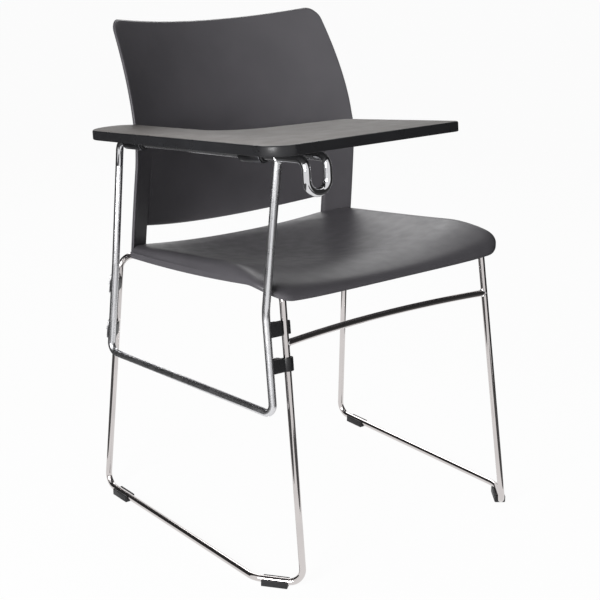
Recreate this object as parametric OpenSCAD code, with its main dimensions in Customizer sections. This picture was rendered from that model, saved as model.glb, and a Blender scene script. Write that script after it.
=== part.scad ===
// Stacking classroom chair on a sled base, with a flip-up writing tablet on the sitter's right.
// Millimetres. +Z is up, the sitter faces -Y and the sitter's right is -X.
// Every place below is measured from the chair's own middle plane (x = 0) and from the floor (z = 0).

/* [Rods] */
// Diameter of the chair frame rod
frame_rod_d = 11; // [9:0.5:12]
// Diameter of the tablet support rod
arm_rod_d = 12.5; // [11:0.5:13]
// Diameter of the rods inside the back's sleeves
upright_d = 9; // [7:0.5:10]

/* [Sled base] */
// Half the width across the rear feet
rear_foot_x = 276; // [262:1:290]
// Rear feet behind the middle
rear_foot_y = 214; // [200:1:230]
// Half the width across the runner bends
runner_bend_x = 272; // [262:1:285]
// Runner bends in front of the middle
runner_bend_y = 228; // [215:1:238]
// Half the width across the front feet
front_foot_x = 223; // [212:1:234]
// Front feet in front of the middle
front_foot_y = 291; // [284:1:305]
// Bend radius at the feet
foot_bend_r = 22; // [16:1:26]
// Bend radius where the runner turns in
runner_bend_r = 40; // [25:1:50]

/* [Frame top] */
// Half the width across the rear corners
rear_top_x = 252.5; // [246:0.5:262]
// Rear corners behind the middle
rear_top_y = 175; // [171:0.5:180]
// Half the width between the seat rails at the rear
rail_x = 172; // [160:1:190]
// Rear corners below the seat's lowest point
rear_run_drop = 4; // [3:0.5:8]
// Half the width across the tops of the front legs
front_top_x = 211; // [204:1:216]
// Tops of the front legs in front of the middle
front_top_y = 224; // [215:1:228]
// Tops of the front legs above the seat's lowest point
front_top_rise = 19; // [12:1:20]
// Bend radius at the tops of the front legs
front_bend_r = 13; // [10:1:20]
// Bend radius of the frame's rear corners
top_bend_r = 20; // [15:1:24]

/* [Crossbars] */
// Height of the front crossbar
crossbar_z = 386; // [350:1:410]
// Bow of the front crossbar towards the rear
crossbar_bow = 17; // [8:1:30]
// Rear crossbar behind the middle
rear_bar_y = 118; // [112:1:124]

/* [Glides] */
// Thickness of a glide under the runner
glide_sole = 3.5; // [2:0.5:6]
// Length of a glide
glide_l = 42; // [30:1:44]
// Width of a glide
glide_w = 19; // [17:0.5:24]
// Height of a glide's side walls above the rod's centre
glide_wall_rise = 3; // [1:0.5:5]
// Rear glides in front of the rear bends
glide_gap = 8; // [4:1:20]

/* [Seat] */
// Height of the seat's lowest point
seat_z = 442; // [420:1:460]
// Width of the seat
seat_w = 501; // [492:1:506]
// Front edge in front of the middle
seat_front_y = 247; // [244:1:260]
// Rear edge behind the middle
seat_rear_y = 186; // [180:1:200]
// Lowest point behind the middle
seat_low_y = 100; // [80:1:120]
// Rise of the seat's middle line from its lowest point to the waterfall
seat_rise = 22; // [15:1:28]
// Start of the waterfall in front of the middle
seat_fall_y = 120; // [100:1:150]
// Drop of the waterfall
seat_fall = 34; // [26:1:40]
// Rise of the sides over the middle
seat_dish = 36; // [25:1:42]
// Radius of the front corners
seat_corner_r = 44; // [36:1:60]
// Wall thickness of the seat
seat_t = 6; // [4:0.5:7]
// Thickness of the seat's rim
seat_rim_t = 4.5; // [3:0.5:6]
// Width of the rolled edge
seat_roll = 26; // [18:1:34]

/* [Seat fixings] */
// Front tabs in front of the middle
front_tab_y = 120; // [100:1:150]
// Rear tabs behind the middle
rear_tab_y = 90; // [70:1:100]
// Length of a tab along its rail
tab_l = 30; // [20:1:40]
// Reach of a tab from its rail
tab_reach = 26; // [24:1:30]
// Thickness of a tab
tab_t = 3; // [2:0.5:4]
// Diameter of a seat boss
boss_d = 14; // [12:0.5:16]

/* [Back] */
// Height of the top corners
back_top_z = 834; // [800:1:860]
// Dip of the top edge at its middle
back_dip = 17; // [5:1:25]
// Half the width at the seat
back_low_x = 243.5; // [240:0.5:247]
// Half the width at the top
back_top_x = 219.5; // [208:0.5:227]
// Sleeves behind the middle, at the seat
back_y = 149.5; // [146:0.5:153]
// Height of the lumbar
lumbar_z = 629; // [620:1:645]
// Back comes forward at the lumbar
lumbar_push = 18.5; // [12:0.5:22]
// Back goes away from the lumbar to the top
recline = 92; // [75:1:105]
// Depth of the curve at the seat
back_low_curve = 72; // [66:1:78]
// Depth of the curve at the top
back_top_curve = 54; // [40:1:70]
// Thickness of the panel
back_t = 7; // [5:0.5:9]
// Radius of the top corners
back_corner_r = 22; // [15:1:36]
// Lower edge of the panel above the seat's lowest point
window_h = 26; // [18:1:40]
// Rise of the panel's lower edge towards the sleeves
window_rise = 22; // [10:1:30]
// Width of a sleeve
sleeve_w = 46; // [42:1:52]
// Sleeves' outer edges in front of the panel's curve
sleeve_h = 6.5; // [4:0.5:9]
// Bulge of a sleeve at the rear, round its rod
sleeve_bulge = 11; // [10:0.5:14]
// Top of the rods inside the sleeves
upright_top_z = 588; // [560:1:594]

/* [Tablet support] */
// Front post outboard of the front leg
arm_out = 33; // [32:0.5:40]
// Front post in front of the front leg
arm_ahead = 0; // [0:0.5:10]
// Rear post outboard of the rear leg
arm_rear_out = 26; // [24:0.5:30]
// Rear post in front of the rear leg
arm_rear_front = 27; // [20:1:30]
// Height of the lower bar at the front
arm_low_front_z = 283; // [262:1:300]
// Height of the lower bar at the rear
arm_low_rear_z = 281; // [262:1:286]
// Height of the kink in each post
arm_kink_z = 438; // [434:1:450]
// Bend radius of the lower bar's corners
arm_bend_r = 16; // [12:1:20]
// Pivot rod outboard of the middle
pivot_x = 263.5; // [263:0.5:272]
// Height of the pivot rod, level with the middle
pivot_z = 657.5; // [640:0.5:680]
// Slope of the tablet
tablet_tilt = 5.1; // [3:0.1:8]
// Rear post behind the middle, at the pivot rod
pivot_rear_y = 143; // [138:1:148]
// Front post in front of the middle, at the pivot rod
pivot_front_y = 285; // [276:1:295]
// Bend radius of the pivot rod
pivot_bend_r = 15; // [12:1:18]

/* [Hook] */
// Hook in front of the middle
hook_y = 347; // [338:1:352]
// Width of the hook between rod centres
hook_w = 37; // [34:0.5:42]
// Drop of the hook between rod centres
hook_drop = 46.5; // [42:0.5:60]
// Length of the rest rod behind the hook
rest_l = 108; // [70:1:118]
// Length of the rest rod's cap
cap_l = 14; // [10:1:20]

/* [Clips] */
// Height of the upper front clip
front_upper_clip_z = 410; // [405:1:416]
// Height of the lower front clip
front_lower_clip_z = 355; // [340:1:364]
// Height of the upper rear clip
rear_upper_clip_z = 398; // [380:1:408]
// Height of the lower rear clip
rear_lower_clip_z = 316; // [312:1:340]
// Height of a clip
clip_h = 21; // [18:1:24]
// Width of a clip's body
clip_w = 17; // [16:0.5:22]
// Clip's front face in front of the leg's middle
clip_front = 5.5; // [5:0.5:8]
// Wall of a clip round the leg
clip_wall = 4; // [3:0.5:5]
// Height of the steel plates on the rear clips
rear_plate_h = 32; // [24:1:34]
// Thickness of the steel plate under a clip screw
plate_t = 2.5; // [1.5:0.5:4]

/* [Tablet] */
// Thickness of the tablet
tablet_t = 15; // [13:0.5:20]
// Outer edge outboard of the pivot rod
tablet_out = 62; // [60:1:72]
// Front edge in front of the middle
tablet_front_y = 361; // [355:1:372]
// Inner front corner inboard of the pivot rod
tablet_in = 283; // [265:1:300]
// Inner rear corner of the writing area, inboard of the pivot rod
tablet_mid_x = 235.5; // [225:0.5:250]
// Inner rear corner of the writing area, in front of the middle
tablet_mid_y = 153; // [143:1:166]
// Inner edge of the arm rest inboard of the pivot rod
armrest_in = 30; // [28:0.5:31]
// Rear end of the tablet behind the middle
tablet_rear_y = 163.5; // [158:0.5:172]
// Radius of the inside curve between arm rest and writing area
tablet_cove_r = 79; // [60:1:90]
// Thickness of the edge band
band_t = 3; // [2:0.5:4]
// Thickness of the laminate on each face
laminate_t = 1; // [0.6:0.1:1.5]

/* [Hinges] */
// Gap between the tablet and the pivot rod
hinge_gap = 3.5; // [3:0.5:5]
// Running clearance of a hinge bush on the rod, all round
bush_play = 0.05; // [0.02:0.01:0.1]
// Wall of a hinge bush
bush_wall = 2.5; // [2:0.5:3]
// Thickness of a saddle's steel
saddle_t = 2; // [1.5:0.5:3]
// Length of a saddle
saddle_l = 50; // [40:1:56]
// Front saddle's middle in front of the middle
front_saddle_y = 228; // [216:1:234]
// Rear saddle's middle behind the middle
rear_saddle_y = 93; // [82:1:96]

/* [Hidden] */
$fn = 64;

// Fits
fit = 0.1;
seat_gap = 1;
weld_bite = 0.4;
bend_lap = 0.2;
bend_draw = 0.04;

// Colours
chrome = "#c9cacd";
bright_chrome = "#d6d8db";
steel = "#a9abae";
charcoal = "#5b595d";
black = "#1c1c1e";
laminate = "#7f7a76";
board = "#b79a72";

// Vectors and curves
function unit(v) = v / norm(v);
function mix(a, b, t) = a + (b - a) * t;
function clamp(t) = max(0, min(1, t));
function smooth(t) = let(c = clamp(t)) c * c * (3 - 2 * c);
function turn(a, b) = acos(max(-1, min(1, a * b)));
function at_height(a, b, z) = mix(a, b, (z - a[2]) / (b[2] - a[2]));
function at_depth(a, b, y) = mix(a, b, (y - a[1]) / (b[1] - a[1]));

// Puts children in the frame with axes x, y, z and origin p
module frame_at(x, y, z, p) multmatrix([for (i = [0:2]) [x[i], y[i], z[i], p[i]]]) children();

// Round bar from a to b
module bar(a, b, d) {
    z = unit(b - a);
    x = unit(cross(abs(z[2]) < 0.9 ? [0, 0, 1] : [1, 0, 0], z));
    frame_at(x, cross(z, x), z, a) cylinder(h = norm(b - a), d = d);
}

// Rod bent at each point of a path. A bend is drawn a hair thinner and laps into its straights.
module bent_rod(path, d, radii, closed = false) {
    n = len(path);
    dir = [for (i = [0:n - 1]) unit(path[(i + 1) % n] - path[i])];
    bend = [for (i = [0:n - 1])
        !closed && (i == 0 || i == n - 1) ? 0 : turn(dir[(i + n - 1) % n], dir[i])];
    cut = [for (i = [0:n - 1]) radii[i] * tan(bend[i] / 2)];
    for (i = [0:n - (closed ? 1 : 2)])
        bar(path[i] + dir[i] * cut[i], path[(i + 1) % n] - dir[i] * cut[(i + 1) % n], d);
    for (i = [0:n - 1]) if (bend[i] > 0) {
        along = dir[(i + n - 1) % n];
        inward = unit(dir[i] - (dir[i] * along) * along);
        middle = path[i] - along * cut[i] + inward * radii[i];
        lap = atan(bend_lap / radii[i]);
        frame_at(-inward, along, cross(-inward, along), middle)
            rotate([0, 0, -lap])
            rotate_extrude(angle = bend[i] + 2 * lap)
            translate([radii[i], 0]) circle(d = d - bend_draw);
    }
}

// Closed solid between two grids of points with the same rows and columns
module grid_solid(top, bottom) {
    rows = len(top);
    cols = len(top[0]);
    size = rows * cols;
    function at(r, c, side) = side * size + r * cols + c;
    rim = concat(
        [for (c = [0:cols - 2]) [0, c, 0, c + 1]],
        [for (r = [0:rows - 2]) [r, cols - 1, r + 1, cols - 1]],
        [for (c = [cols - 1:-1:1]) [rows - 1, c, rows - 1, c - 1]],
        [for (r = [rows - 1:-1:1]) [r, 0, r - 1, 0]]);
    polyhedron(
        points = concat([for (row = top) for (p = row) p], [for (row = bottom) for (p = row) p]),
        faces = concat(
            [for (r = [0:rows - 2]) for (c = [0:cols - 2])
                each [[at(r, c, 0), at(r, c + 1, 0), at(r + 1, c + 1, 0)],
                    [at(r, c, 0), at(r + 1, c + 1, 0), at(r + 1, c, 0)]]],
            [for (r = [0:rows - 2]) for (c = [0:cols - 2])
                each [[at(r, c, 1), at(r + 1, c + 1, 1), at(r, c + 1, 1)],
                    [at(r, c, 1), at(r + 1, c, 1), at(r + 1, c + 1, 1)]]],
            [for (e = rim)
                each [[at(e[0], e[1], 0), at(e[2], e[3], 1), at(e[2], e[3], 0)],
                    [at(e[0], e[1], 0), at(e[0], e[1], 1), at(e[2], e[3], 1)]]]));
}

// Outline with its corners rounded, moved inwards by inset. Points run anticlockwise.
arc_steps = 10;
function left_of(d) = [-d[1], d[0]];
function spin(v, a) = [v[0] * cos(a) - v[1] * sin(a), v[0] * sin(a) + v[1] * cos(a)];
function rounded(points, radii, inset) = [
    for (i = [0:len(points) - 1])
        let(n = len(points),
            a = unit(points[i] - points[(i + n - 1) % n]),
            b = unit(points[(i + 1) % n] - points[i]),
            hand = a[0] * b[1] - a[1] * b[0] > 0 ? 1 : -1,
            corner = points[i] + inset * (left_of(a) + left_of(b)) / (1 + left_of(a) * left_of(b)),
            r = radii[i] - hand * inset,
            middle = corner - a * r * tan(turn(a, b) / 2) + hand * r * left_of(a))
        for (k = [0:arc_steps])
            middle + spin(-hand * r * left_of(a), hand * turn(a, b) * k / arc_steps)];

// Seat surface
seat_half = seat_w / 2;
dish_power = 2.2;
dish_y = -20;
dish_reach = 220;
dish_fade = 0.8;
rim_rear_rise = 5.5;
rim_ramp_y = 25;
rim_ramp = 0.115;
rim_front_rise = 10;
rim_corner_rise = 8;
rim_corner_power = 6;
rim_turn = 65;
rim_wall = 4;
seat_rows = 26;
seat_cols_in = 6;
seat_cols_out = 10;

function seat_mid_z(y) = seat_z
    + seat_rise * pow((seat_low_y - y) / (seat_low_y + seat_fall_y), 2)
    - seat_fall * pow(max(0, -seat_fall_y - y) / (seat_front_y - seat_fall_y), 2);
function seat_dish_at(y) = seat_dish * (1 - dish_fade * pow((y - dish_y) / dish_reach, 2));
function seat_base_z(x, y) = seat_mid_z(y) + seat_dish_at(y) * pow(abs(x) / seat_half, dish_power);
function seat_rim_z(x, y) = let(
        turn_y = rim_turn - seat_front_y,
        side = seat_z + rim_rear_rise + rim_ramp * max(0, rim_ramp_y - max(y, turn_y)),
        t = clamp((turn_y - y) / rim_turn))
    mix(side, seat_z + rim_front_rise, t * t)
    + rim_corner_rise * t * pow(abs(x) / seat_half, rim_corner_power);
// Distance from the side and front edges
function seat_edge(x, y) = let(
        cx = abs(x) - (seat_half - seat_corner_r),
        cy = seat_corner_r - seat_front_y - y)
    cx > 0 && cy > 0 ? seat_corner_r - norm([cx, cy]) : min(seat_half - abs(x), y + seat_front_y);
// 1 at the edge, 0 where the roll starts, with the section of a quarter round
function roll(t) = 1 - sqrt(1 - pow(1 - clamp(t), 2));
function seat_top_z(x, y) = let(base = seat_base_z(x, y))
    base - (base - seat_rim_z(x, y) - rim_wall) * roll(seat_edge(x, y) / seat_roll);
function seat_under_z(x, y) = let(base = seat_base_z(x, y) - seat_t)
    base - (base - seat_rim_z(x, y)) * roll((seat_edge(x, y) - seat_rim_t) / (seat_roll - seat_rim_t));

// Back surface. The panel is one smooth curve, and the sleeves turn forward from it at both sides.
back_low_z = seat_z;
back_taper = 0.4;
recline_power = 1.6;
sleeve_fade_drop = 55;
sleeve_fade_z = lumbar_z - sleeve_fade_drop;
sleeve_fade_slope = 0.4;
sleeve_fade_h = 60;
back_rows = 30;
back_cols_in = 8;
back_cols_out = 9;
step_x = 1;

function back_rise(z) = (z - back_low_z) / (back_top_z - back_low_z);
function back_half(z) = let(t = back_rise(z))
    mix(back_low_x, back_top_x, back_taper * t + (1 - back_taper) * t * t);
function sleeve_in_x(z) = back_half(z) - sleeve_w;
function panel_edge_y(z) = let(t = max(0, (z - lumbar_z) / (back_top_z - lumbar_z)))
    back_y + sleeve_h - lumbar_push * min(1, (z - back_low_z) / (lumbar_z - back_low_z))
    + recline * pow(t, recline_power);
function panel_y(x, z) = panel_edge_y(z)
    + mix(back_low_curve, back_top_curve, back_rise(z)) * (1 - pow(x / back_half(z), 2));
// Place across a sleeve, 0 at its inner edge and 1 at its outer edge
function sleeve_u(x, z) = clamp((abs(x) - sleeve_in_x(z)) / sleeve_w);
// 1 on the sleeves, fading out along a slant near the lumbar
function sleeve_fade(x, z) = 1 - smooth(
    (z - sleeve_fade_z - sleeve_fade_slope * sleeve_w * sleeve_u(x, z)) / sleeve_fade_h);
function back_front_y(x, z) = panel_y(x, z) - sleeve_h * sleeve_fade(x, z) * sleeve_u(x, z);
function back_rear_y(x, z) = let(u = sleeve_u(x, z))
    back_front_y(x, z) + back_t + sleeve_bulge * sleeve_fade(x, z) * 4 * u * (1 - u);

// Rods inside the sleeves, along the middle of each sleeve
sleeve_low_z = seat_z - rear_run_drop + frame_rod_d / 2 + seat_gap;
function upright_at(z) = let(x = back_half(z) - sleeve_w / 2)
    [x, (back_front_y(x, z) + back_rear_y(x, z)) / 2, z];
upright_low = upright_at(sleeve_low_z);
upright_high = upright_at(upright_top_z);
rear_run_z = seat_z - rear_run_drop;
upright_foot = at_height(upright_low, upright_high, rear_run_z);

// Side frame. The run from each rear corner passes under the foot of a sleeve's rod.
rod_z = glide_sole + frame_rod_d / 2;
rail_rear_y = mix(rear_top_y, upright_foot[1], (rear_top_x - rail_x) / (rear_top_x - upright_foot[0]));
front_top_z = seat_z + front_top_rise;
function side_path(s) = [
    [s * front_foot_x, -front_foot_y, rod_z],
    [s * runner_bend_x, -runner_bend_y, rod_z],
    [s * rear_foot_x, rear_foot_y, rod_z],
    [s * rear_top_x, rear_top_y, rear_run_z],
    [s * rail_x, rail_rear_y, rear_run_z],
    [s * front_top_x, -front_top_y, front_top_z]];
side_bends = [foot_bend_r, runner_bend_r, foot_bend_r, top_bend_r, top_bend_r, front_bend_r];
right = -1;
left = 1;
function front_leg(s, z) = at_height(side_path(s)[0], side_path(s)[5], z);
function rear_leg(s, z) = at_height(side_path(s)[2], side_path(s)[3], z);
function rail(s, y) = at_depth(side_path(s)[4], side_path(s)[5], y);

// Tablet plane. Its own origin lies on the pivot rod, level with the chair's middle.
function on_pivot(p) = [
    p[0] - pivot_x,
    p[1] * cos(tablet_tilt) + p[2] * sin(tablet_tilt),
    pivot_z - p[1] * sin(tablet_tilt) + p[2] * cos(tablet_tilt)];
module tablet_plane() translate([-pivot_x, 0, pivot_z]) rotate([-tablet_tilt, 0, 0]) children();
board_low = arm_rod_d / 2 + hinge_gap;
board_high = board_low + tablet_t;

// Tablet support. Posts stand beside the legs, and the lower bar joins them.
front_post_offset = [-arm_out, -arm_ahead, 0];
rear_post_offset = [-arm_rear_out, -arm_rear_front, 0];
front_post_low = front_leg(right, arm_low_front_z) + front_post_offset;
front_post_kink = front_leg(right, arm_kink_z) + front_post_offset;
front_post_top = on_pivot([0, -pivot_front_y, 0]);
rear_post_low = rear_leg(right, arm_low_rear_z) + rear_post_offset;
rear_post_kink = rear_leg(right, arm_kink_z) + rear_post_offset;
rear_post_top = on_pivot([0, pivot_rear_y, 0]);
rear_joint_drop = 40;
rear_post_joint = rear_post_top + unit(rear_post_kink - rear_post_top) * rear_joint_drop;
kink_bend_r = 60;
hook_flat = 0.8;
hook_turn_r = (hook_w - hook_flat) / 2;
rest_end_y = rest_l - hook_y;

// The part stands on the middle of its own box
runner_turn = atan((rear_foot_x - runner_bend_x) / (rear_foot_y + runner_bend_y));
glide_end = at_depth(side_path(left)[1], side_path(left)[2], rear_glide_y(left));
box_left_x = glide_end[0] + glide_w / 2 * cos(runner_turn) + glide_l / 2 * sin(runner_turn);
box_front_y = min(on_pivot([0, -tablet_front_y, board_low])[1],
    on_pivot([0, -hook_y, -hook_drop])[1] - arm_rod_d / 2);
box_mid_x = (box_left_x - pivot_x - tablet_out) / 2;
box_mid_y = (back_rear_y(0, back_top_z - back_dip) + box_front_y) / 2;
module centred() translate([-box_mid_x, -box_mid_y, 0]) children();

// Sled base and seat frame
module side_frame(s) bent_rod(side_path(s), frame_rod_d, side_bends, closed = true);
module right_side_frame() color(chrome) centred() side_frame(right);
module left_side_frame() color(chrome) centred() side_frame(left);

module legs_and_rails(rod) for (s = [right, left]) {
    bar(side_path(s)[0], side_path(s)[5], rod);
    bar(side_path(s)[4], side_path(s)[5], rod);
    bar(side_path(s)[3], side_path(s)[4], rod);
}

// One long bend between short straight ends
crossbar_end = 25;
module front_crossbar() color(chrome) centred() difference() {
    end = front_leg(left, crossbar_z);
    slope = 2 * crossbar_bow / (end[0] + crossbar_end);
    bend_r = (end[0] / cos(atan(slope)) - crossbar_end) / slope;
    bent_rod([[-end[0], end[1], crossbar_z], [0, end[1] + end[0] * slope, crossbar_z], end],
        frame_rod_d, [0, bend_r, 0]);
    legs_and_rails(frame_rod_d);
}

module rear_crossbar() color(chrome) centred() difference() {
    end = rail(left, rear_bar_y);
    low_z = end[2] - frame_rod_d + weld_bite;
    bar([-end[0], rear_bar_y, low_z], [end[0], rear_bar_y, low_z], frame_rod_d);
    legs_and_rails(frame_rod_d);
}

module back_upright(s) difference() {
    flip = [s, 1, 1];
    bar([for (i = [0:2]) upright_foot[i] * flip[i]], [for (i = [0:2]) upright_high[i] * flip[i]],
        upright_d);
    legs_and_rails(frame_rod_d);
    back_screw_at(s) back_screw_hole();
}
module right_back_upright() color(chrome) centred() back_upright(right);
module left_back_upright() color(chrome) centred() back_upright(left);

// Seat fixings: a tab on each rail, with a screw up through it into a boss of the seat
screw_d = 5;
screw_head_d = 9.5;
screw_head_h = 3;
screw_bite = 9;
screw_skin = 2;
boss_embed = 3;
tab_hole_in = tab_reach - boss_d / 2 - 2;
tab_ys = [-front_tab_y, rear_tab_y];
function tab_at(s, y) = rail(s, y) - [s * tab_hole_in, 0, 0];
// Length of a screw above its tab's middle. It ends inside its boss, short of the seat's top.
function screw_reach(s, y) = let(p = tab_at(s, y))
    min(tab_t / 2 + screw_bite, seat_top_z(p[0], p[1]) - screw_skin - p[2]);
module each_tab() for (s = [right, left]) for (y = tab_ys) translate(tab_at(s, y)) {
    $s = s;
    $y = y;
    children();
}

module seat_tabs() color(steel) centred() difference() {
    each_tab() difference() {
        translate([$s * (tab_hole_in - tab_reach / 2), 0, 0])
            cube([tab_reach, tab_l, tab_t], center = true);
        cylinder(d = screw_d + 2 * fit, h = 2 * tab_t, center = true);
    }
    legs_and_rails(frame_rod_d);
}

module seat_screws() color(steel) centred() each_tab() {
    translate([0, 0, -tab_t / 2 - screw_head_h]) cylinder(d = screw_head_d, h = screw_head_h);
    translate([0, 0, -tab_t / 2]) cylinder(d = screw_d, h = tab_t / 2 + screw_reach($s, $y));
}

// Seat: rows run from rear to front, columns from right to left
notch_x = sleeve_in_x(seat_z) - seat_gap;
seat_pass = 20;
function seat_rear_at(x) = abs(x) <= notch_x ? seat_rear_y
    : min(seat_rear_y, back_front_y(min(abs(x), back_half(seat_z)), seat_z + seat_pass) - seat_gap);
function seat_front_at(x) = let(cx = max(0, abs(x) - (seat_half - seat_corner_r)))
    seat_corner_r - seat_front_y - sqrt(seat_corner_r * seat_corner_r - cx * cx);
seat_half_cols = concat(
    [for (i = [0:seat_cols_in]) notch_x * i / seat_cols_in],
    [for (i = [0:seat_cols_out]) mix(notch_x + step_x, seat_half, sin(90 * i / seat_cols_out))]);
seat_cols = concat(
    [for (i = [len(seat_half_cols) - 1:-1:1]) -seat_half_cols[i]], seat_half_cols);
function seat_y(x, row) = mix(seat_rear_at(x), seat_front_at(x), sin(90 * row / seat_rows));
function seat_grid(under) = [for (row = [0:seat_rows]) [for (x = seat_cols)
    let(y = seat_y(x, row)) [x, y, under ? seat_under_z(x, y) : seat_top_z(x, y)]]];

module seat_shell() color(charcoal) centred() difference() {
    union() {
        grid_solid(seat_grid(false), seat_grid(true));
        for (s = [right, left]) for (y = tab_ys) {
            p = tab_at(s, y);
            low = p[2] + tab_t / 2;
            translate([p[0], p[1], low])
                cylinder(d = boss_d, h = seat_under_z(p[0], p[1]) + boss_embed - low);
        }
    }
    each_tab() cylinder(d = screw_d, h = screw_reach($s, $y));
}

// Back: rows run from bottom to top, columns from right to left, and its rear is the grid's top
back_screw_rise = 32;
back_screw_z = seat_z + back_screw_rise;
back_screw_d = 4;
back_screw_head_d = 8;
back_screw_head_h = 2.4;
back_screw_seat = back_screw_head_h;
back_screw_x = at_height(upright_low, upright_high, back_screw_z)[0];
sleeve_slope = (back_front_y(back_screw_x + step_x, back_screw_z)
    - back_front_y(back_screw_x - step_x, back_screw_z)) / (2 * step_x);
// A column is its hand, its zone (0 for the panel, 1 for a sleeve) and its place in that zone
back_half_cols = concat(
    [for (i = [0:back_cols_in]) [0, i / back_cols_in]],
    [for (i = [0:back_cols_out]) [1, sin(90 * i / back_cols_out)]]);
back_cols = concat(
    [for (i = [len(back_half_cols) - 1:-1:1]) concat(-1, back_half_cols[i])],
    [for (c = back_half_cols) concat(1, c)]);
function back_x(c, z) = let(edge = sleeve_in_x(z))
    c[0] * (c[1] == 0 ? c[2] * edge : mix(edge + step_x, back_half(z), c[2]));
function back_low_at(c) = c[1] == 1 ? sleeve_low_z : seat_z + window_h + window_rise * c[2] * c[2];
function back_top_at(c) = let(
        x = abs(back_x(c, back_top_z)),
        cx = max(0, x - (back_top_x - back_corner_r)))
    back_top_z - back_dip * (1 - pow(x / back_top_x, 2))
    - back_corner_r + sqrt(back_corner_r * back_corner_r - cx * cx);
function back_grid(rear) = [for (row = [0:back_rows]) [for (c = back_cols)
    let(z = mix(back_low_at(c), back_top_at(c), row / back_rows), x = back_x(c, z))
    [x, rear ? back_rear_y(x, z) : back_front_y(x, z), z]]];

// Places children on a sleeve's rear wall, with +Z out of the wall
module back_screw_at(s) {
    p = at_height(upright_low, upright_high, back_screw_z);
    out = unit([-sleeve_slope * s, 1, 0]);
    frame_at(cross([0, 0, 1], out), [0, 0, 1], out, [s * p[0], p[1], p[2]]) children();
}
sleeve_out = (back_t + sleeve_bulge) / 2 * cos(atan(sleeve_slope));
module back_screw_hole() cylinder(d = back_screw_d, h = sleeve_out + back_t);
module back_screw_seat_cut() translate([0, 0, sleeve_out - back_screw_seat])
    cylinder(d = back_screw_head_d + 4 * fit, h = back_t);

module back_shell() color(charcoal) centred() difference() {
    grid_solid(back_grid(true), back_grid(false));
    for (s = [right, left]) {
        flip = [s, 1, 1];
        bar([for (i = [0:2]) upright_foot[i] * flip[i]], [for (i = [0:2]) upright_high[i] * flip[i]],
            upright_d + 2 * fit);
        back_screw_at(s) back_screw_hole();
        back_screw_at(s) back_screw_seat_cut();
    }
}

module back_screws() color(steel) centred() for (s = [right, left]) back_screw_at(s) {
    cylinder(d = back_screw_d, h = sleeve_out - back_screw_seat);
    translate([0, 0, sleeve_out - back_screw_seat])
        cylinder(d = back_screw_head_d, h = back_screw_head_h);
}

// Glides: a channel that snaps up round the runner
module glide(a, b, along) {
    dir = unit(b - a);
    across = cross([0, 0, 1], dir);
    frame_at(across, [0, 0, 1], cross(across, [0, 0, 1]), a + dir * along) difference() {
        translate([-glide_w / 2, -rod_z, -glide_l / 2])
            cube([glide_w, rod_z + glide_wall_rise, glide_l]);
        cylinder(d = frame_rod_d + 2 * fit, h = 2 * glide_l, center = true);
        translate([-frame_rod_d / 2 + fit, 0, -glide_l])
            cube([frame_rod_d - 2 * fit, frame_rod_d, 2 * glide_l]);
    }
}
// The front glide sits in the middle of the straight between its two bends
function bend_cut(path, i, r) = let(n = len(path))
    r * tan(turn(unit(path[i] - path[(i + n - 1) % n]), unit(path[i + 1] - path[i])) / 2);
function front_glide_at(s) = let(p = side_path(s))
    (bend_cut(p, 0, foot_bend_r) + norm(p[1] - p[0]) - bend_cut(p, 1, runner_bend_r)) / 2;
function rear_glide_at(s) = let(p = side_path(s))
    norm(p[2] - p[1]) - bend_cut(p, 2, foot_bend_r) - glide_gap - glide_l / 2;
function rear_glide_y(s) = let(p = side_path(s)) p[1][1] + unit(p[2] - p[1])[1] * rear_glide_at(s);
module front_glide(s) glide(side_path(s)[0], side_path(s)[1], front_glide_at(s));
module rear_glide(s) glide(side_path(s)[1], side_path(s)[2], rear_glide_at(s));
module front_right_glide() color(black) centred() front_glide(right);
module rear_right_glide() color(black) centred() rear_glide(right);
module front_left_glide() color(black) centred() front_glide(left);
module rear_left_glide() color(black) centred() rear_glide(left);

// Tablet support rods
module pivot_bar(rod) bar(on_pivot([0, pivot_rear_y, 0]), on_pivot([0, -hook_y, 0]), rod);
module arm_frame() color(bright_chrome) centred() difference() {
    bent_rod([front_post_top, front_post_kink, front_post_low,
        rear_post_low, rear_post_kink, rear_post_joint],
        arm_rod_d, [0, kink_bend_r, arm_bend_r, arm_bend_r, kink_bend_r, 0]);
    pivot_bar(arm_rod_d);
}
module pivot_rod() color(bright_chrome) centred() bent_rod([
    rear_post_joint,
    rear_post_top,
    on_pivot([0, -hook_y, 0]),
    on_pivot([0, -hook_y, -hook_drop]),
    on_pivot([hook_w, -hook_y, -hook_drop]),
    on_pivot([hook_w, -hook_y, 0]),
    on_pivot([hook_w, rest_end_y, 0])],
    arm_rod_d, [0, pivot_bend_r, pivot_bend_r, hook_turn_r, hook_turn_r, pivot_bend_r, 0]);

cap_end = 2;
module rest_rod_cap() color(black) centred() tablet_plane()
    translate([hook_w, rest_end_y - cap_l + cap_end, 0]) rotate([-90, 0, 0]) difference() {
        cylinder(d = arm_rod_d + hinge_gap, h = cap_l);
        translate([0, 0, -cap_end]) cylinder(d = arm_rod_d + 2 * fit, h = cap_l);
    }

// Clips: each hooks round a leg and is held by a screw to a tab welded on the post
clip_tab_t = 3;
clip_tab_margin = 3;
clip_screw_head_h = 3;
clip_screw_head_d = 8;
clip_screw_d = 4;
clip_grip = 2.5;
plate_margin = 2;
front_clip_heights = [front_upper_clip_z, front_lower_clip_z];
rear_clip_heights = [rear_upper_clip_z, rear_lower_clip_z];
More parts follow.
